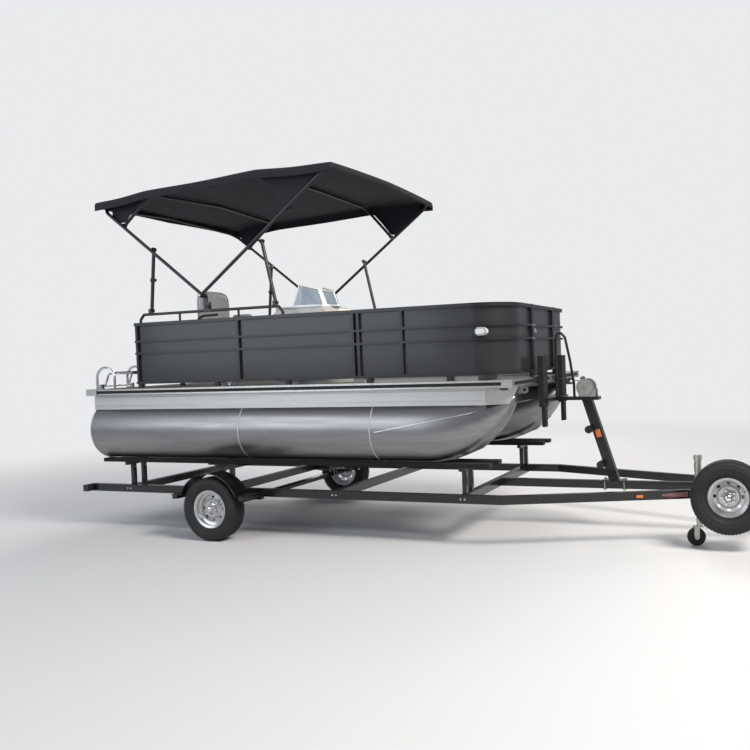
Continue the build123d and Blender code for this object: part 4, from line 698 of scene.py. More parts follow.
def canopy_level(x):
    """Crown height and side drop of the cloth at a place, with its sag between the bows."""
    for first, second in zip(CANOPY_ROWS, CANOPY_ROWS[1:]):
        if x <= second[0]:
            share = (x - first[0]) / (second[0] - first[0])
            smooth = share * share * (3 - 2 * share)
            height = first[1] + (second[1] - first[1]) * share
            drop = first[2] + (second[2] - first[2]) * smooth
            return height, drop, math.sin(math.pi * share) ** 2
    return *CANOPY_ROWS[-1][1:], 0.0


def canopy_height(x, y, sag_depth):
    """Height of the cloth in millimetres at a place, with its tension folds."""
    height, drop, sag = canopy_level(x)
    share = min(abs(y) / CROWN_HALF, 1.0)
    ripple = RIPPLE_HEIGHT * math.sin(x / RIPPLE_X + y / RIPPLE_Y) * (1 - share) * sag
    fold = FOLD_HEIGHT * math.sin(y / FOLD_Y) * math.exp(-((share - FOLD_BAND) / FOLD_WIDTH) ** 2) * sag
    return height - drop * share ** 2.2 - sag_depth * sag * (1 - 0.4 * share) + ripple + fold


def canopy_ends(y):
    """Where the cloth turns down over the rear and the front bow, which are bowed outward at their middle."""
    rise = 1 - min(abs(y) / CROWN_HALF, 1.0)
    return REAR_END - REAR_BULGE * rise, FRONT_END + FRONT_BULGE * rise


def add_gusset(bm, upper, lower, inner, inner_top, y, side, sag_depth):
    """A thin side panel that fills the corner between two legs up to the cloth, hollowed along its free edge."""
    columns, rows = 22, 10
    half_thick, under_cloth, least_height, edge_hollow, bulge_depth = 0.9, 4.0, 6.0, 16.0, 3.0
    grids = []
    for shift in (half_thick, -half_thick):
        grid = []
        for step in range(columns + 1):
            share = step / columns
            x = upper[0] + (inner_top[0] - upper[0]) * share
            if abs(x - upper[0]) <= abs(lower[0] - upper[0]):
                first, second, hollow = upper, lower, 0.0
            elif abs(x - upper[0]) <= abs(inner[0] - upper[0]):
                first, second, hollow = lower, inner, 0.0
            else:
                first, second, hollow = inner, inner_top, edge_hollow
            part = (x - first[0]) / (second[0] - first[0])
            base = first[1] + (second[1] - first[1]) * part + hollow * math.sin(math.pi * part)
            top = canopy_height(x, y, sag_depth) - under_cloth
            base = min(base, top - least_height)
            line = []
            for level in range(rows + 1):
                rise = level / rows
                bulge = bulge_depth * math.sin(math.pi * rise) * math.sin(math.pi * share)
                line.append(bm.verts.new(at(x, side * (y + bulge - 1.0 + shift), base + (top - base) * rise)))
            grid.append(line)
        grids.append(grid)
    front, back = grids
    for first in range(columns):
        for level in range(rows):
            for grid in grids:
                bm.faces.new((grid[first][level], grid[first + 1][level],
                              grid[first + 1][level + 1], grid[first][level + 1]))
        for level in (0, rows):
            bm.faces.new((front[first][level], front[first + 1][level], back[first + 1][level], back[first][level]))
    for column in (0, columns):
        for level in range(rows):
            bm.faces.new((front[column][level], front[column][level + 1],
                          back[column][level + 1], back[column][level]))


def make_canopy(sizes):
    """One sheet over the four bows, crowned, sagging between them and turned down at its edges."""
    skirt = sizes.canopy_skirt * 1000
    sag_depth = sizes.canopy_sag * 1000
    edge = 1113
    # Across the sheet: place from the middle, fall below the crowned surface
    across = [(y, 0.0) for y in (0, 70, 150, 230, 320, 410, 500, 590, 680, 770, 850, 920, 980, 1030, 1068)]
    across += [(1088, 3.0), (1101, 9.0), (1109, 20.0), (1112, 36.0), (edge, 56.0), (edge, skirt - 12), (edge, skirt)]
    section = [(-y, fall) for y, fall in reversed(across[1:])] + across
    steps = 90
    # Along the sheet: share of the length, step past the end, turn-down
    rows = [(0.0, -1.6, 60.0), (0.0, -2.0, 34.0), (0.0, -1.2, 9.0)]
    rows += [(step / steps, 0.0, 0.0) for step in range(steps + 1)]
    rows += [(1.0, 1.2, 9.0), (1.0, 2.0, 34.0), (1.0, 1.6, 60.0)]
    bm = bmesh.new()
    grid = []
    for share, beyond, curl in rows:
        line = []
        for y, fall in section:
            first_x, last_x = canopy_ends(y)
            inside = first_x + (last_x - first_x) * share
            height = canopy_height(inside, y, sag_depth) - max(fall, curl)
            line.append(bm.verts.new(at(inside + beyond, y, height)))
        grid.append(line)
    uv = bm.loops.layers.uv.new("UVMap")
    for row in range(len(rows) - 1):
        for step in range(len(section) - 1):
            corners = ((row, step), (row + 1, step), (row + 1, step + 1), (row, step + 1))
            face = bm.faces.new([grid[along][column] for along, column in corners])
            for loop, (along, column) in zip(face.loops, corners):
                y, fall = section[column]
                loop[uv].uv = (grid[along][column].co.x, y / 1000 + fall / 1000)
    bm.normal_update()
    if sum(face.normal.z for face in bm.faces) < 0:
        bmesh.ops.reverse_faces(bm, faces=bm.faces)
    area = sum(face.calc_area() for face in bm.faces)
    mesh = bpy.data.meshes.new("canopy_sheet")
    bm.to_mesh(mesh)
    bm.free()
    sheet = mesh_piece("canopy_sheet", mesh, "canopy cloth", None, ("canopy",), 60.0)
    wall = sheet.modifiers.new("cloth thickness", "SOLIDIFY")
    wall.thickness = 0.0018
    wall.offset = 0.0
    for name, body, *places in GUSSETS:
        bm = bmesh.new()
        for side in (-1, 1):
            add_gusset(bm, *places, side, sag_depth)
        piece("canopy_gusset_" + name, bm, "gusset cloth", body, (), 40.0)
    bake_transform(sheet)


def pillow(bm, low, high, round_power, crown, channels, along, face, sign, pull):
    """A crowned cushion in a box, its sides pulled in between the corners, with sewn channels on one face."""
    low, high = Vector(low), Vector(high)
    middle, size = (low + high) / 2, (high - low) / 2
    made = bmesh.ops.create_cube(bm, size=2.0)["verts"]
    earlier = set(bm.verts) - set(made)
    bmesh.ops.subdivide_edges(bm, edges=edges_at(made), cuts=20, use_grid_fill=True)
    others = [n for n in range(3) if n != face]
    for vert in set(bm.verts) - earlier:
        unit = Vector(vert.co)
        norm = sum(abs(value) ** round_power for value in unit) ** (1 / round_power)
        shaped = unit * (max(abs(value) for value in unit) / norm)
        place = [shaped[n] * (size[n] - 0.001) for n in range(3)]
        for n, other in (others, others[::-1]):
            bulge = (1 - unit[other] ** 2) * (1 - unit[face] ** 2)
            place[n] -= math.copysign(pull, unit[n]) * bulge * (abs(unit[n]) > 0.98)
        top = max(0.0, (1 - unit[others[0]] ** 2) * (1 - unit[others[1]] ** 2))
        if unit[face] * sign > 0.5:
            reach = size[face] - crown * (1 - top ** 0.5)
            place[face] = sign * min(abs(place[face]), reach)
            if channels:
                groove = abs(math.sin(math.pi * ((unit[along] + 1) / 2 * channels)))
                place[face] -= sign * 0.009 * max(0.0, 1 - groove * 3.0) * min(1.0, top * 6)
        vert.co = middle + Vector(place)


def piping(bm, low, high, level, radius, inset):
    """A level sewn cord round a cushion."""
    corner = 0.03
    points = []
    for start, way_x, way_y in ((0, 1, 1), (90, -1, 1), (180, -1, -1), (270, 1, -1)):
        centre_x = (high.x - inset - corner) if way_x > 0 else (low.x + inset + corner)
        centre_y = (high.y - inset - corner) if way_y > 0 else (low.y + inset + corner)
        for step in range(7):
            angle = math.radians(start + step * 15)
            points.append((centre_x + corner * math.cos(angle), centre_y + corner * math.sin(angle), level))
    add_tube(bm, points, radius, 8, loop=True)


def make_seats(sizes):
    """Helm chair and the three bench cushions and backs, padded and piped."""
    low, high = at(-400, -860, 1980), at(30, -420, 2092)
    bm = bmesh.new()
    pillow(bm, low, high, 5.0, 0.022, 3, 1, 2, 1, 0.008)
    seat = piece("chair_cushion", bm, "seat vinyl", "helm_chair", ("chair_seat",), 70.0)
    bm = bmesh.new()
    pillow(bm, at(-411, -868, 2068), at(-318, -412, 2439), 3.6, 0.02, 4, 1, 0, 1, 0.008)
    back = piece("chair_back", bm, "seat vinyl", "helm_chair", (), 70.0)
    bm = bmesh.new()
    add_box(bm, at(-380, -800, 1957), at(10, -480, 1981), 0.006)
    for side in (-1, 1):
        y = CHAIR_Y + side * 228
        outer = y + side * 14
        add_tube(bm, [at(-360, y, 1990), at(-372, y + side * 12, 2060), at(-352, outer, 2150), at(-300, outer, 2172),
                      at(-120, outer, 2176)], 0.012, 12)
    piece("chair_frame", bm, "black plastic", "helm_chair")
    bm = bmesh.new()
    for y in (CHAIR_Y - 242, CHAIR_Y + 242):
        pillow(bm, at(-310, y - 24, 2168), at(-80, y + 24, 2200), 4.0, 0.004, 0, 0, 2, 1, 0.001)
    rests = piece("chair_armrests", bm, "seat vinyl", "helm_chair", (), 70.0)
    bm = bmesh.new()
    piping(bm, low, high, at(0, 0, 2062).z, sizes.piping_radius, 0.004)
    piece("chair_piping", bm, "piping", "helm_chair")
    # Benches: rear end, front end, side of the deck
    benches = ((1560.0, 2680.0, -1), (1560.0, 2680.0, 1), (-1000.0, 260.0, 1))
    base_z, seat_z, back_z = 1791.5, 1885.5, 2111.0
    bm_seats, bm_backs, bm_cords = bmesh.new(), bmesh.new(), bmesh.new()
    for start, stop, side in benches:
        inner, outer = sorted((side * 504.0, side * 866.0))
        low, high = at(start, inner, base_z), at(stop, outer, seat_z)
        pillow(bm_seats, low, high, 8.0, 0.02, 5, 0, 2, 1, 0.006)
        piping(bm_cords, low, high, high.z - 0.022, sizes.piping_radius, 0.003)
        inner, outer = sorted((side * 875.0, side * 983.0))
        pillow(bm_backs, at(start, inner, base_z), at(stop, outer, back_z), 7.0, 0.018, 5, 0, 1, -side, 0.006)
    cushions = piece("bench_seat_cushions", bm_seats, "bench vinyl", HULL, ("bench_cushions",), 70.0)
    backs = piece("bench_back_cushions", bm_backs, "bench vinyl", HULL, (), 70.0)
    piece("bench_piping", bm_cords, "piping", HULL)


def screen_line(rear_x, depth, half, z, tilt, count=24):
    """Points round the windscreen's bowed edge, which falls forward by an angle in degrees."""
    slope = math.radians(tilt)
    points = []
    for step in range(count + 1):
        angle = math.pi * (step / count - 0.5)
        forward = depth * math.cos(angle)
        points.append(at(rear_x + forward * math.cos(slope), HELM_Y + half * math.sin(angle),
                         z - forward * math.sin(slope)))
    return points


def make_helm():
    """Console moulding, dash, gauges, throttle and the windscreen's edging."""
    top_half, foot_half = 206.0, 242.5
    bm = bmesh.new()
    add_box(bm, at(572, -886, 2191), at(1082, -374, 2207), 0.007)
    dash = ((514, 2063), (577, 2201), (583, 2191), (522, 2059))
    add_prism(bm, [(at(x, 0, z).x, z / 1000) for x, z in dash], -0.866, -0.394)
    add_box(bm, at(700, -888, 1500), at(1040, -878, 2090), 0.004)
    piece("console_mouldings", bm, "gloss white", HULL)
    bm = bmesh.new()
    add_tube(bm, screen_line(815, 238.5, top_half, 2413.5, 15.0), 0.0065, 10)
    add_tube(bm, screen_line(760, 343, foot_half, 2210, 0.0), 0.0075, 10)
    for side in (-1, 1):
        add_tube(bm, [at(762, HELM_Y + side * foot_half, 2210), at(817, HELM_Y + side * top_half, 2413)], 0.0065, 10)
    piece("windscreen_edging", bm, "gloss white", HULL)
    # The dash faces aft and up
    face = Vector((-0.908, 0, 0.418))
    small, large = 0.036, 0.045
    bm_rings, bm_faces = bmesh.new(), bmesh.new()
    for y, size in ((-800, small), (-715, large), (-545, large), (-460, small)):
        centre = at(545, y, 2133) + face * 0.0105
        lip = [(size - 0.006, 0), (size, 0), (size, 0.006), (size - 0.003, 0.008), (size - 0.006, 0.006)]
        add_lathe(bm_rings, lip, centre, face, 32)
        add_disc(bm_faces, centre, face, size - 0.0062, 0.003, 32)
    piece("gauge_rings", bm_rings, "polished metal", HULL)
    piece("gauge_faces", bm_faces, "gauge face", HULL)
    bm = bmesh.new()
    add_box(bm, at(590, -382, 1980), at(700, -350, 2120), 0.008)
    add_tube(bm, [at(640, -352, 2080), at(600, -338, 2170), at(585, -336, 2215)], 0.008, 12)
    add_tube(bm, [at(585, -340, 2215), at(585, -300, 2215)], 0.015, 14)
    for y in range(-760, -655, 26):
        add_box(bm, at(500, y, 2020), at(512, y + 16, 2042))
    piece("throttle_box", bm, "black plastic", HULL)


def make_fence_fittings():
    """Rail end caps, gate latches, lamp rings and lenses, and rivets along the fence."""
    bm = bmesh.new()
    rail_levels = (1941, 1820)
    for side in (-1, 1):
        for z in rail_levels:
            add_tube(bm, [at(2990, side * 357, z), at(3016, side * 357, z)], 0.0105, 14)
            add_box(bm, at(3003, side * 376 - 24, z - 8), at(3009, side * 376 + 24, z + 8))
        add_disc(bm, at(2992, side * 362, 2131.5), UP, 0.012, 0.004, 16)
    add_box(bm, at(3005, -374, 1872), at(3011, -330, 1912))
    add_tube(bm, [at(3012, -352, 1892), at(3021, -352, 1892), at(3023, -352, 1866)], 0.005, 10)
    piece("bow_gate_trim", bm, "polished metal", HULL)
    bm = bmesh.new()
    add_box(bm, at(-1086, -928, 1872), at(-1079, -884, 1912))
    add_tube(bm, [at(-1087, -906, 1892), at(-1096, -906, 1892), at(-1098, -906, 1862)], 0.005, 10)
    piece("stern_gate_latch", bm, "polished metal", "stern_gate")
    bm_ring, bm_lens = bmesh.new(), bmesh.new()
    for side in (-1, 1):
        centre = at(2728, side * 1021.4, 1884)
        for bm, reach_x, reach_z, height in ((bm_ring, 0.050, 0.032, 0.006), (bm_lens, 0.041, 0.024, 0.009)):
            outline = []
            for angle in round_angles(32):
                cosine, sine = math.cos(angle), math.sin(angle)
                outline.append((centre.x + reach_x * math.copysign(abs(cosine) ** 0.7, cosine),
                                centre.z + reach_z * math.copysign(abs(sine) ** 0.7, sine)))
            add_prism(bm, outline, *sorted((centre.y, centre.y + side * height)))
    piece("docking_light_rings", bm_ring, "polished metal", HULL)
    piece("docking_light_lenses", bm_lens, "clear lens", HULL)
    places = [(at(x, side * 1015.8, z), (0, side, 0))
              for side in (-1, 1) for z in (1560, 1700, 1880, 2050) for x in (212, 1480, 1536, 1972)]
    heads("fence_rivets", places, 0.0038, 0.0022, 10, "black tube", HULL)


def make_deck_fittings(sizes):
    """Screws in the trim, its lips and the ribs of the rub rails."""
    trim_start, trim_end = -1470.0, 2920.0
    places = []
    for side in (-1, 1):
        x = trim_start
        while x < trim_end:
            places += [(at(x, side * 1134.6, z), (0, side, 0)) for z in (1456, 1413)]
            x += sizes.screw_pitch * 1000
    for end, x in ((-1, -1560.6), (1, 3032.6)):
        places += [(at(x, step * 190.0, 1457), (end, 0, 0)) for step in range(-5, 6)]
    heads("trim_screws", places, 0.0042, 0.002, 10, "zinc plate", HULL)
    bm = bmesh.new()
    for side in (-1, 1):
        for z in (1464.5, 1406.0):
            add_box(bm, at(trim_start, side * 1134.5, z - 2.2), at(2942, side * 1138.5, z + 2.2), 0.0012)
    piece("trim_lips", bm, "bright metal", HULL)
    bm = bmesh.new()
    rib_levels = (1425.5, 1442.5)
    for y in (-1142.5, 1142.5):
        for z in rib_levels:
            add_tube(bm, [at(-1468, y, z), at(2940, y, z)], 0.0035, 10)
    for z in rib_levels:
        add_tube(bm, [at(3040.8, -1030, z), at(3040.8, 1030, z)], 0.0035, 10)
    piece("rub_rail_ribs", bm, "black rubber", HULL)


def make_tube_details(sizes):
    """Ripples of the welds, end caps, strakes, and the skirt's pressed lines and rivets."""
    seams = (-1600, 247, 1671)
    # A strake's rear end and its run to the front end, along and up
    strake_x, strake_z, strake_run, strake_rise, strake_steps = 1726.0, 1027.0, 914.0, 163.0, 48
    skirt_face = 1046.0
    cap = [(0, 0), (0.262, 0), (0.270, 0.004), (0.262, 0.008), (0, 0.009)]
    for name, side in SIDES:
        y = side * TUBE_Y
        bm = bmesh.new()
        for x in seams:
            add_ring(bm, "welds", sizes.bead_count, 0.3066, (0.0105, 0.0125, 0.0055), "weld metal", at(x, y, TUBE_Z),
                     ALONG_X)
        piece("tube_welds_" + name, bm, "weld metal", HULL)
        bm = bmesh.new()
        add_lathe(bm, cap, at(-1608.5, y, TUBE_Z), (-1, 0, 0), 64, closed=False)
        add_disc(bm, at(-1617, y, TUBE_Z + 160), (-1, 0, 0), 0.019, 0.012, 20)
        piece("tube_end_cap_" + name, bm, "tube metal", HULL)
    bm = bmesh.new()
    for name, side in SIDES:
        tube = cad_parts["pontoon_" + name]
        surface = BVHTree.FromPolygons([tube.matrix_world @ vert.co for vert in tube.data.vertices],
                                       [polygon.vertices[:] for polygon in tube.data.polygons])
        for face in (-1, 1):
            points = []
            for step in range(strake_steps + 1):
                share = step / strake_steps
                outside = at(strake_x + strake_run * share, side * TUBE_Y + face * 450,
                             strake_z + strake_rise * share)
                hit = surface.ray_cast(outside, Vector((0, -face, 0)))[0]
                if hit is not None:
                    points.append(hit + Vector((0, face * 0.0015, 0)))
            add_tube(bm, points, 0.0055, 8)
    piece("tube_strakes", bm, "weld metal", HULL)
    bm = bmesh.new()
    places = []
    for side in (-1, 1):
        for z in (1290, 1376):
            add_box(bm, at(-1604, side * skirt_face, z - 3), at(2750, side * (skirt_face + 2.5), z + 3), 0.001)
        places += [(at(x, side * (skirt_face + 0.8), 1334), (0, side, 0)) for x in range(-1540, 2661, 300)]
    piece("skirt_pressings", bm, "skirt metal", HULL)
    heads("skirt_rivets", places, 0.0055, 0.0026, 12, "bright metal", HULL)


def make_bimini_fittings():
    """Hinge caps, knobs and stay clamps of the folding top."""
    knob = [(0, 0), (0.014, 0), (0.020, 0.006), (0.020, 0.014), (0.013, 0.02), (0, 0.021)]
    clamp = [(0.0175, -0.018), (0.0235, -0.018), (0.025, -0.012), (0.025, 0.012), (0.0235, 0.018), (0.0175, 0.018)]
    bm_caps, bm_knobs = bmesh.new(), bmesh.new()
    for side in (-1, 1):
        out = Vector((0, side, 0))
        add_disc(bm_caps, at(-148, side * 1098.4, 2356), out, 0.011, 0.006, 20)
        for x in STAY_FEET:
            add_disc(bm_caps, at(x, side * (STAY_Y - 18.2), STAY_FOOT_Z), -out, 0.008, 0.004, 16)
        add_lathe(bm_knobs, knob, at(-112, side * 1022.6, STAY_FOOT_Z), out, 20, closed=False)
    piece("bimini_hinge_caps", bm_caps, "gloss white", HULL)
    piece("bimini_knobs", bm_knobs, "black plastic", HULL)
    bm = bmesh.new()
    foot, head = at(STAY_FEET[0], 0, STAY_FOOT_Z), at(-792.7, 0, 2862.7)
    for side in (-1, 1):
        middle = foot + (head - foot) * 0.5 + Vector((0, side * STAY_Y / 1000, 0))
        add_lathe(bm, clamp, middle, (head - foot).normalized(), 24)
        add_box(bm, middle + Vector((0.020, -0.006, -0.014)), middle + Vector((0.046, 0.006, 0.014)))
    piece("stay_clamps", bm, "black plastic", HULL)


def make_trailer_lamps():
    """Tail and side lenses, and the red stripe on the front rail."""
    # Where the rails bend inward, and how far they run and come in from there
    bend_x, bend_run, bend_in = 2850, 2380, 867.5
    bm = bmesh.new()
    for side in (-1, 1):
        add_box(bm, at(-1858, side * 964 - 52, 390), at(-1851, side * 964 + 52, 444), 0.003)
    piece("tail_lenses", bm, "red lens", HULL)
    bm = bmesh.new()
    for side in (-1, 1):
        turn = Matrix.Rotation(-side * RAIL_ANGLE, 3, "Z")
        out = Vector((math.sin(RAIL_ANGLE) * 0.0155, side * math.cos(RAIL_ANGLE) * 0.0155, 0))
        add_block(bm, at(3960, side * 553.5, 418) + out, (0.029, 0.003, 0.013), 0.002, turn)
    post_lean = Matrix.Rotation(-math.radians(17.6), 3, "Y")
    for side in (-1, 1):
        add_block(bm, at(3504, side * 40.2, 905), (0.024, 0.0025, 0.037), 0.002, post_lean)
    piece("amber_lenses", bm, "amber lens", HULL)
    bm = bmesh.new()
    turn = Matrix.Rotation(RAIL_ANGLE, 3, "Z")
    for step in range(7):
        x = 4160 + step * 30
        y = -(RAIL_Y - (x - bend_x) / bend_run * bend_in) - 25.6
        add_block(bm, at(x, y, RAIL_Z), (0.0162, 0.0005, (10 + step * 2.2) / 1000), 0, turn)
    piece("rail_stripe", bm, "red stripe", HULL)


def make_trailer_bolts():
    """The U-bolts of the winch post and the springs, and the frame's bolt heads."""
    beams, brackets = (-1290, -140, 1180, 2480), (-1290, -140, 2480)
    bm = bmesh.new()
    for x in (3548, 3732):
        for y in (-33, 33):
            add_tube(bm, [at(x, y, 372), at(x, y, 478), at(x, y, 482)], 0.006, 10)
        add_box(bm, at(x - 14, -42, 370), at(x + 14, 42, 380))
    for side in (-1, 1):
        for x in (-28, 28):
            for y in (904, 961):
                add_tube(bm, [at(x, side * y, 262), at(x, side * y, 375)], 0.0065, 10)
            add_box(bm, at(x - 12, side * RAIL_Y - 36, 264), at(x + 12, side * RAIL_Y + 36, 275))
    piece("u_bolts", bm, "zinc plate", HULL)
    places = []
    for side in (-1, 1):
        for x in beams:
            places += [(at(x + shift, side * 958.8, RAIL_Z), (0, side, 0)) for shift in (-20, 20)]
        for x in brackets:
            places += [(at(x + face * 21, side * TUBE_Y + leg, 640), (face, 0, 0))
                       for leg in (-70, 70) for face in (-1, 1)]
    heads("frame_bolts", places, 0.0095, 0.007, 6, "zinc plate", HULL)


def make_winch_fittings():
    """Gear, rolled strap, hook and grip of the winch."""
    gear_place = at(DRUM_X, -72, DRUM_Z)
    bm = bmesh.new()
    add_ring(bm, "teeth", 44, 0.0795, (0.007, 0.008, 0.008), "zinc plate", gear_place, ALONG_Y)
    add_lathe(bm, [(0.02, -0.004), (0.077, -0.004), (0.077, 0.004), (0.02, 0.004)], gear_place, ALONG_Y, 48)
    piece("winch_gear", bm, "zinc plate", HULL)
    bm = bmesh.new()
    roll = [(0.0345, -0.054), (0.050, -0.054), (0.051, -0.05), (0.051, 0.05), (0.050, 0.054), (0.0345, 0.054)]
    add_lathe(bm, roll, at(DRUM_X, 0, DRUM_Z), ALONG_Y, 40)
    line = [at(x, 0, z) for x, z in ((3374, 1385), (3300, 1407), (3200, 1420), (3100, 1430), (3060, 1433))]
    for first, second in zip(line, line[1:]):
        way = second - first
        turn = Matrix.Rotation(-math.atan2(way.z, way.x), 3, "Y")
        add_block(bm, (first + second) / 2, (way.length / 2 + 0.002, 0.024, 0.0016), 0.0006, turn)
    piece("winch_strap", bm, "webbing", HULL)
    bm = bmesh.new()
    hook = [at(x, y, 1433) for x, y in ((3058, -22), (3050, -12), (3047, 0), (3050, 12), (3058, 22))]
    add_tube(bm, hook, 0.005, 12)
    add_box(bm, at(3040.5, -20, 1416), at(3045.5, 20, 1450))
    piece("strap_hook", bm, "zinc plate", HULL)
    bm = bmesh.new()
    grip = [(0, 0), (0.0145, 0), (0.0175, 0.006), (0.0195, 0.045), (0.0175, 0.082), (0.0145, 0.09), (0, 0.091)]
    add_lathe(bm, grip, at(3325, 104, 1420), ALONG_Y, 20, closed=False)
    piece("winch_grip", bm, "black plastic", HULL)


def make_jack_fittings():
    """Grip and collar of the tongue jack."""
    bm = bmesh.new()
    reach = Vector((-math.sin(RAIL_ANGLE), math.cos(RAIL_ANGLE), 0)) * 0.066
    grip = [(0, 0), (0.0125, 0), (0.0150, 0.006), (0.0165, 0.042), (0.0150, 0.078), (0.0125, 0.084), (0, 0.084)]
    add_lathe(bm, grip, at(JACK_X, JACK_Y, 614) + reach, UP, 20, closed=False)
    piece("jack_grip", bm, "black plastic", "jack")
    bm = bmesh.new()
    collar = [(0.030, 0), (0.0365, 0), (0.0365, 0.012), (0.030, 0.012)]
    add_lathe(bm, collar, at(JACK_X, JACK_Y, 332), UP, 32)
    piece("jack_collar", bm, "black plastic", "jack")


def make_fender_fittings():
    """The fenders' rolled outer edge and the ribs on their steps."""
    bm = bmesh.new()
    first_angle, arc, steps = 25, 130, 24
    for side in (-1, 1):
        edge = []
        for step in range(steps + 1):
            angle = math.radians(first_angle + step * arc / steps)
            edge.append(at(345 * math.cos(angle), side * (WHEEL_Y + 87.0), 305 + 344 * math.sin(angle)))
        add_tube(bm, edge, 0.0045, 8)
    piece("fender_beads", bm, "trailer paint", HULL)
    bm = bmesh.new()
    for side in (-1, 1):
        for low, high in ((338, 436), (-436, -338)):
            for step in range(6):
                x = low + (high - low) * (step + 0.5) / 6
                add_box(bm, at(x - 4, side * 1125, 439.8), at(x + 4, side * 1280, 442.5), 0.001)
    piece("step_treads", bm, "black rubber", HULL)


def make_ladder_fittings():
    """Rubber treads on the folding ladder's steps."""
    bm = bmesh.new()
    for x in (-1525, -1295):
        add_box(bm, at(x - 27, -838, 1633.5), at(x + 27, -552, 1638.5))
        for place in range(x - 20, x + 21, 10):
            add_box(bm, at(place - 1.5, -834, 1638), at(place + 1.5, -556, 1640.5), 0.0008)
    piece("ladder_treads", bm, "black rubber", "ladder")


# Lamps: name, place in metres, size, watts, colour
LAMPS = (("key", (7.0, -3.5, 8.0), 3.5, 1050.0, (1.0, 0.95, 0.88)),
         ("fill", (-6.0, -8.5, 4.5), 6.0, 300.0, (0.85, 0.92, 1.0)),
         ("back", (-2.0, 8.0, 7.5), 6.0, 600.0, (1.0, 0.97, 0.92)))
LAMP_TARGET = Vector((-0.6, 0, 1.4))
# The photograph's camera: its place, its turns in radians, its lens and sensor, its shift
CAMERA_PLACE = (5111, -7222, 1690)
CAMERA_YAW, CAMERA_PITCH, CAMERA_ROLL = 0.354, -0.034, -0.036
CAMERA_LENS, CAMERA_SENSOR = 37.3, 36.0
CAMERA_SHIFT = (-0.156, 0.0067)
# The floor is opaque up to the first distance and gone at the second
FLOOR_FADE = (4.2, 12.0)


def mix_into(tree, share, first, second, output_name):
    """The output's surface is the first shader, and the second one where the share is 1."""
    mix = tree.nodes.new("ShaderNodeMixShader")
    wire(*share, mix, "Fac")
    wire(first, 0, mix, 1)
    wire(second, 0, mix, 2)
    wire(mix, "Shader", tree.nodes[output_name], "Surface")


def make_floor():
    """A pale floor that fades into the backdrop with its distance, so no edge shows behind the boat."""
    bm = bmesh.new()
    bmesh.ops.create_grid(bm, x_segments=1, y_segments=1, size=60.0)
    mesh = bpy.data.meshes.new("floor")
    bm.to_mesh(mesh)
    bm.free()
    floor = placed("floor", mesh)
    floor.location.z = -0.001
    material = bpy.data.materials.new("pale floor")
    material.use_nodes = True
    tree = material.node_tree
    shader = tree.nodes["Principled BSDF"]
    shader.inputs["Base Color"].default_value = (0.70, 0.70, 0.71, 1)
    shader.inputs["Roughness"].default_value = 0.9
    place = tree.nodes.new("ShaderNodeTexCoord")
    distance = new_node(tree, "ShaderNodeVectorMath", operation="LENGTH")
    wire(place, "Object", distance, 0)
    near, far = FLOOR_FADE
    fade = new_node(tree, "ShaderNodeMapRange", {"From Min": near, "From Max": far}, interpolation_type="SMOOTHSTEP")
    wire(distance, "Value", fade, "Value")
    mix_into(tree, (fade, "Result"), shader, tree.nodes.new("ShaderNodeBsdfTransparent"), "Material Output")
    mesh.materials.append(material)


def make_stage():
    """Pale floor and backdrop, soft lamps and the camera at the photograph's place."""
    make_floor()
    scene = bpy.context.scene
    world = bpy.data.worlds.new("studio")
    world.use_nodes = True
    tree = world.node_tree
    light = tree.nodes["Background"]
    backdrop = tree.nodes.new("ShaderNodeBackground")
    for node, colour, strength in ((light, (0.74, 0.78, 0.84, 1), 0.42), (backdrop, (0.82, 0.83, 0.84, 1), 1.0)):
        node.inputs["Color"].default_value = colour
        node.inputs["Strength"].default_value = strength
    path = tree.nodes.new("ShaderNodeLightPath")
    mix_into(tree, (path, "Is Camera Ray"), light, backdrop, "World Output")
    scene.world = world
    for name, place, size, watts, colour in LAMPS:
        data = bpy.data.lights.new(name, "AREA")
        data.size = size
        data.energy = watts
        data.color = colour
        lamp = placed(name, data)
        lamp.location = place
        lamp.rotation_euler = (LAMP_TARGET - Vector(place)).to_track_quat("-Z", "Y").to_euler()
    level = math.cos(CAMERA_PITCH)
    forward = Vector((-math.sin(CAMERA_YAW) * level, math.cos(CAMERA_YAW) * level, math.sin(CAMERA_PITCH)))
    right = Vector((math.cos(CAMERA_YAW), math.sin(CAMERA_YAW), 0))
    up = right.cross(forward)
    across = right * math.cos(CAMERA_ROLL) + up * math.sin(CAMERA_ROLL)
    above = up * math.cos(CAMERA_ROLL) - right * math.sin(CAMERA_ROLL)
    turn = Matrix((across, above, -forward)).transposed()
    data = bpy.data.cameras.new("photo view")
    data.sensor_width = CAMERA_SENSOR
    data.lens = CAMERA_LENS
    data.shift_x, data.shift_y = CAMERA_SHIFT
    camera = placed("photo view", data)
    camera.matrix_world = Matrix.Translation(at(*CAMERA_PLACE)) @ turn.to_4x4()
    scene.camera = camera
    scene.view_settings.view_transform = "Standard"


# Operators, one for each group of pieces

class BOAT_OT_finishes(bpy.types.Operator):
    """Give every CAD node its finish"""
    bl_idname = "boat.finishes"
    bl_label = "Finishes"

    def execute(self, context):
        colours = context.scene.boat_colours
        for name, colour in (("fence panel", colours.panel), ("tube metal", colours.tube),
                             ("canopy cloth", colours.cloth), ("gusset cloth", colours.cloth),
                             ("seat vinyl", colours.vinyl), ("trailer paint", colours.trailer)):
            FINISHES[name]["colour"] = tuple(colour)
        dress_nodes()
        return {"FINISHED"}


class BOAT_OT_tyres(bpy.types.Operator):
    """Make the tyres and the wheels' nuts, caps and valves"""
    bl_idname = "boat.tyres"
    bl_label = "Tyres And Wheels"

    def execute(self, context):
        make_tyres(context.scene.boat_sizes)
        make_wheel_fittings(context.scene.boat_sizes)
        return {"FINISHED"}


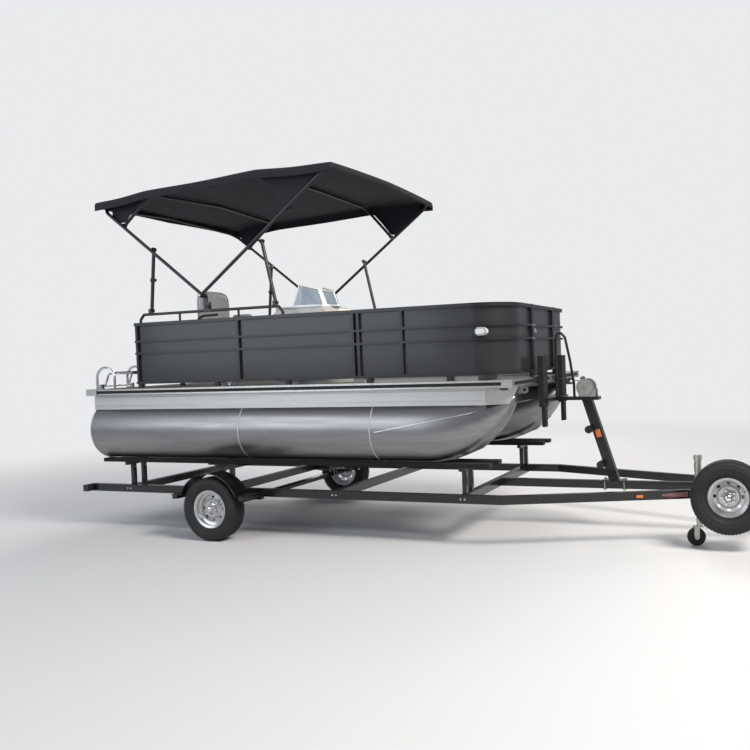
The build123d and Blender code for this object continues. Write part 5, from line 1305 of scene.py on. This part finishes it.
class BOAT_OT_canopy(bpy.types.Operator):
    """Make the canopy's sheet and the fittings of its bows"""
    bl_idname = "boat.canopy"
    bl_label = "Canopy"

    def execute(self, context):
        make_canopy(context.scene.boat_sizes)
        make_bimini_fittings()
        return {"FINISHED"}


class BOAT_OT_seats(bpy.types.Operator):
    """Make the chair and the bench cushions"""
    bl_idname = "boat.seats"
    bl_label = "Seats"

    def execute(self, context):
        make_seats(context.scene.boat_sizes)
        return {"FINISHED"}


class BOAT_OT_helm(bpy.types.Operator):
    """Make the helm's mouldings, gauges and screen edging"""
    bl_idname = "boat.helm"
    bl_label = "Helm"

    def execute(self, context):
        make_helm()
        return {"FINISHED"}


class BOAT_OT_deck(bpy.types.Operator):
    """Make the fittings of the fence, the deck, the tubes and the ladder"""
    bl_idname = "boat.deck"
    bl_label = "Fence, Deck And Tubes"

    def execute(self, context):
        sizes = context.scene.boat_sizes
        make_fence_fittings()
        make_deck_fittings(sizes)
        make_tube_details(sizes)
        make_ladder_fittings()
        return {"FINISHED"}


class BOAT_OT_trailer(bpy.types.Operator):
    """Make the trailer's lenses, bolts, winch and jack fittings and fender edges"""
    bl_idname = "boat.trailer"
    bl_label = "Trailer"

    def execute(self, context):
        for make in (make_trailer_lamps, make_trailer_bolts, make_winch_fittings, make_jack_fittings,
                     make_fender_fittings):
            make()
        return {"FINISHED"}


class BOAT_OT_stage(bpy.types.Operator):
    """Make the floor, the lamps and the camera"""
    bl_idname = "boat.stage"
    bl_label = "Stage"

    def execute(self, context):
        make_stage()
        return {"FINISHED"}


STEPS = ("finishes", "tyres", "canopy", "seats", "helm", "deck", "trailer", "stage")


class BOAT_PT_panel(bpy.types.Panel):
    """Lists the sizes, the colours and the steps"""
    bl_label = "Boat"
    bl_idname = "BOAT_PT_panel"
    bl_space_type = "VIEW_3D"
    bl_region_type = "UI"
    bl_category = "Boat"

    def draw(self, context):
        for group in (context.scene.boat_sizes, context.scene.boat_colours):
            for name in group.__annotations__:
                self.layout.prop(group, name)
        for name in STEPS:
            self.layout.operator("boat." + name)


CLASSES = (BoatSizes, BoatColours, BOAT_OT_finishes, BOAT_OT_tyres, BOAT_OT_canopy, BOAT_OT_seats, BOAT_OT_helm,
           BOAT_OT_deck, BOAT_OT_trailer, BOAT_OT_stage, BOAT_PT_panel)


def register():
    for item in CLASSES:
        bpy.utils.register_class(item)
    bpy.types.Scene.boat_sizes = bpy.props.PointerProperty(type=BoatSizes)
    bpy.types.Scene.boat_colours = bpy.props.PointerProperty(type=BoatColours)


def unregister():
    del bpy.types.Scene.boat_colours
    del bpy.types.Scene.boat_sizes
    for item in reversed(CLASSES):
        bpy.utils.unregister_class(item)


def main():
    """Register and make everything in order."""
    register()
    for name in STEPS:
        getattr(bpy.ops.boat, name)()


if __name__ == "__main__":
    main()
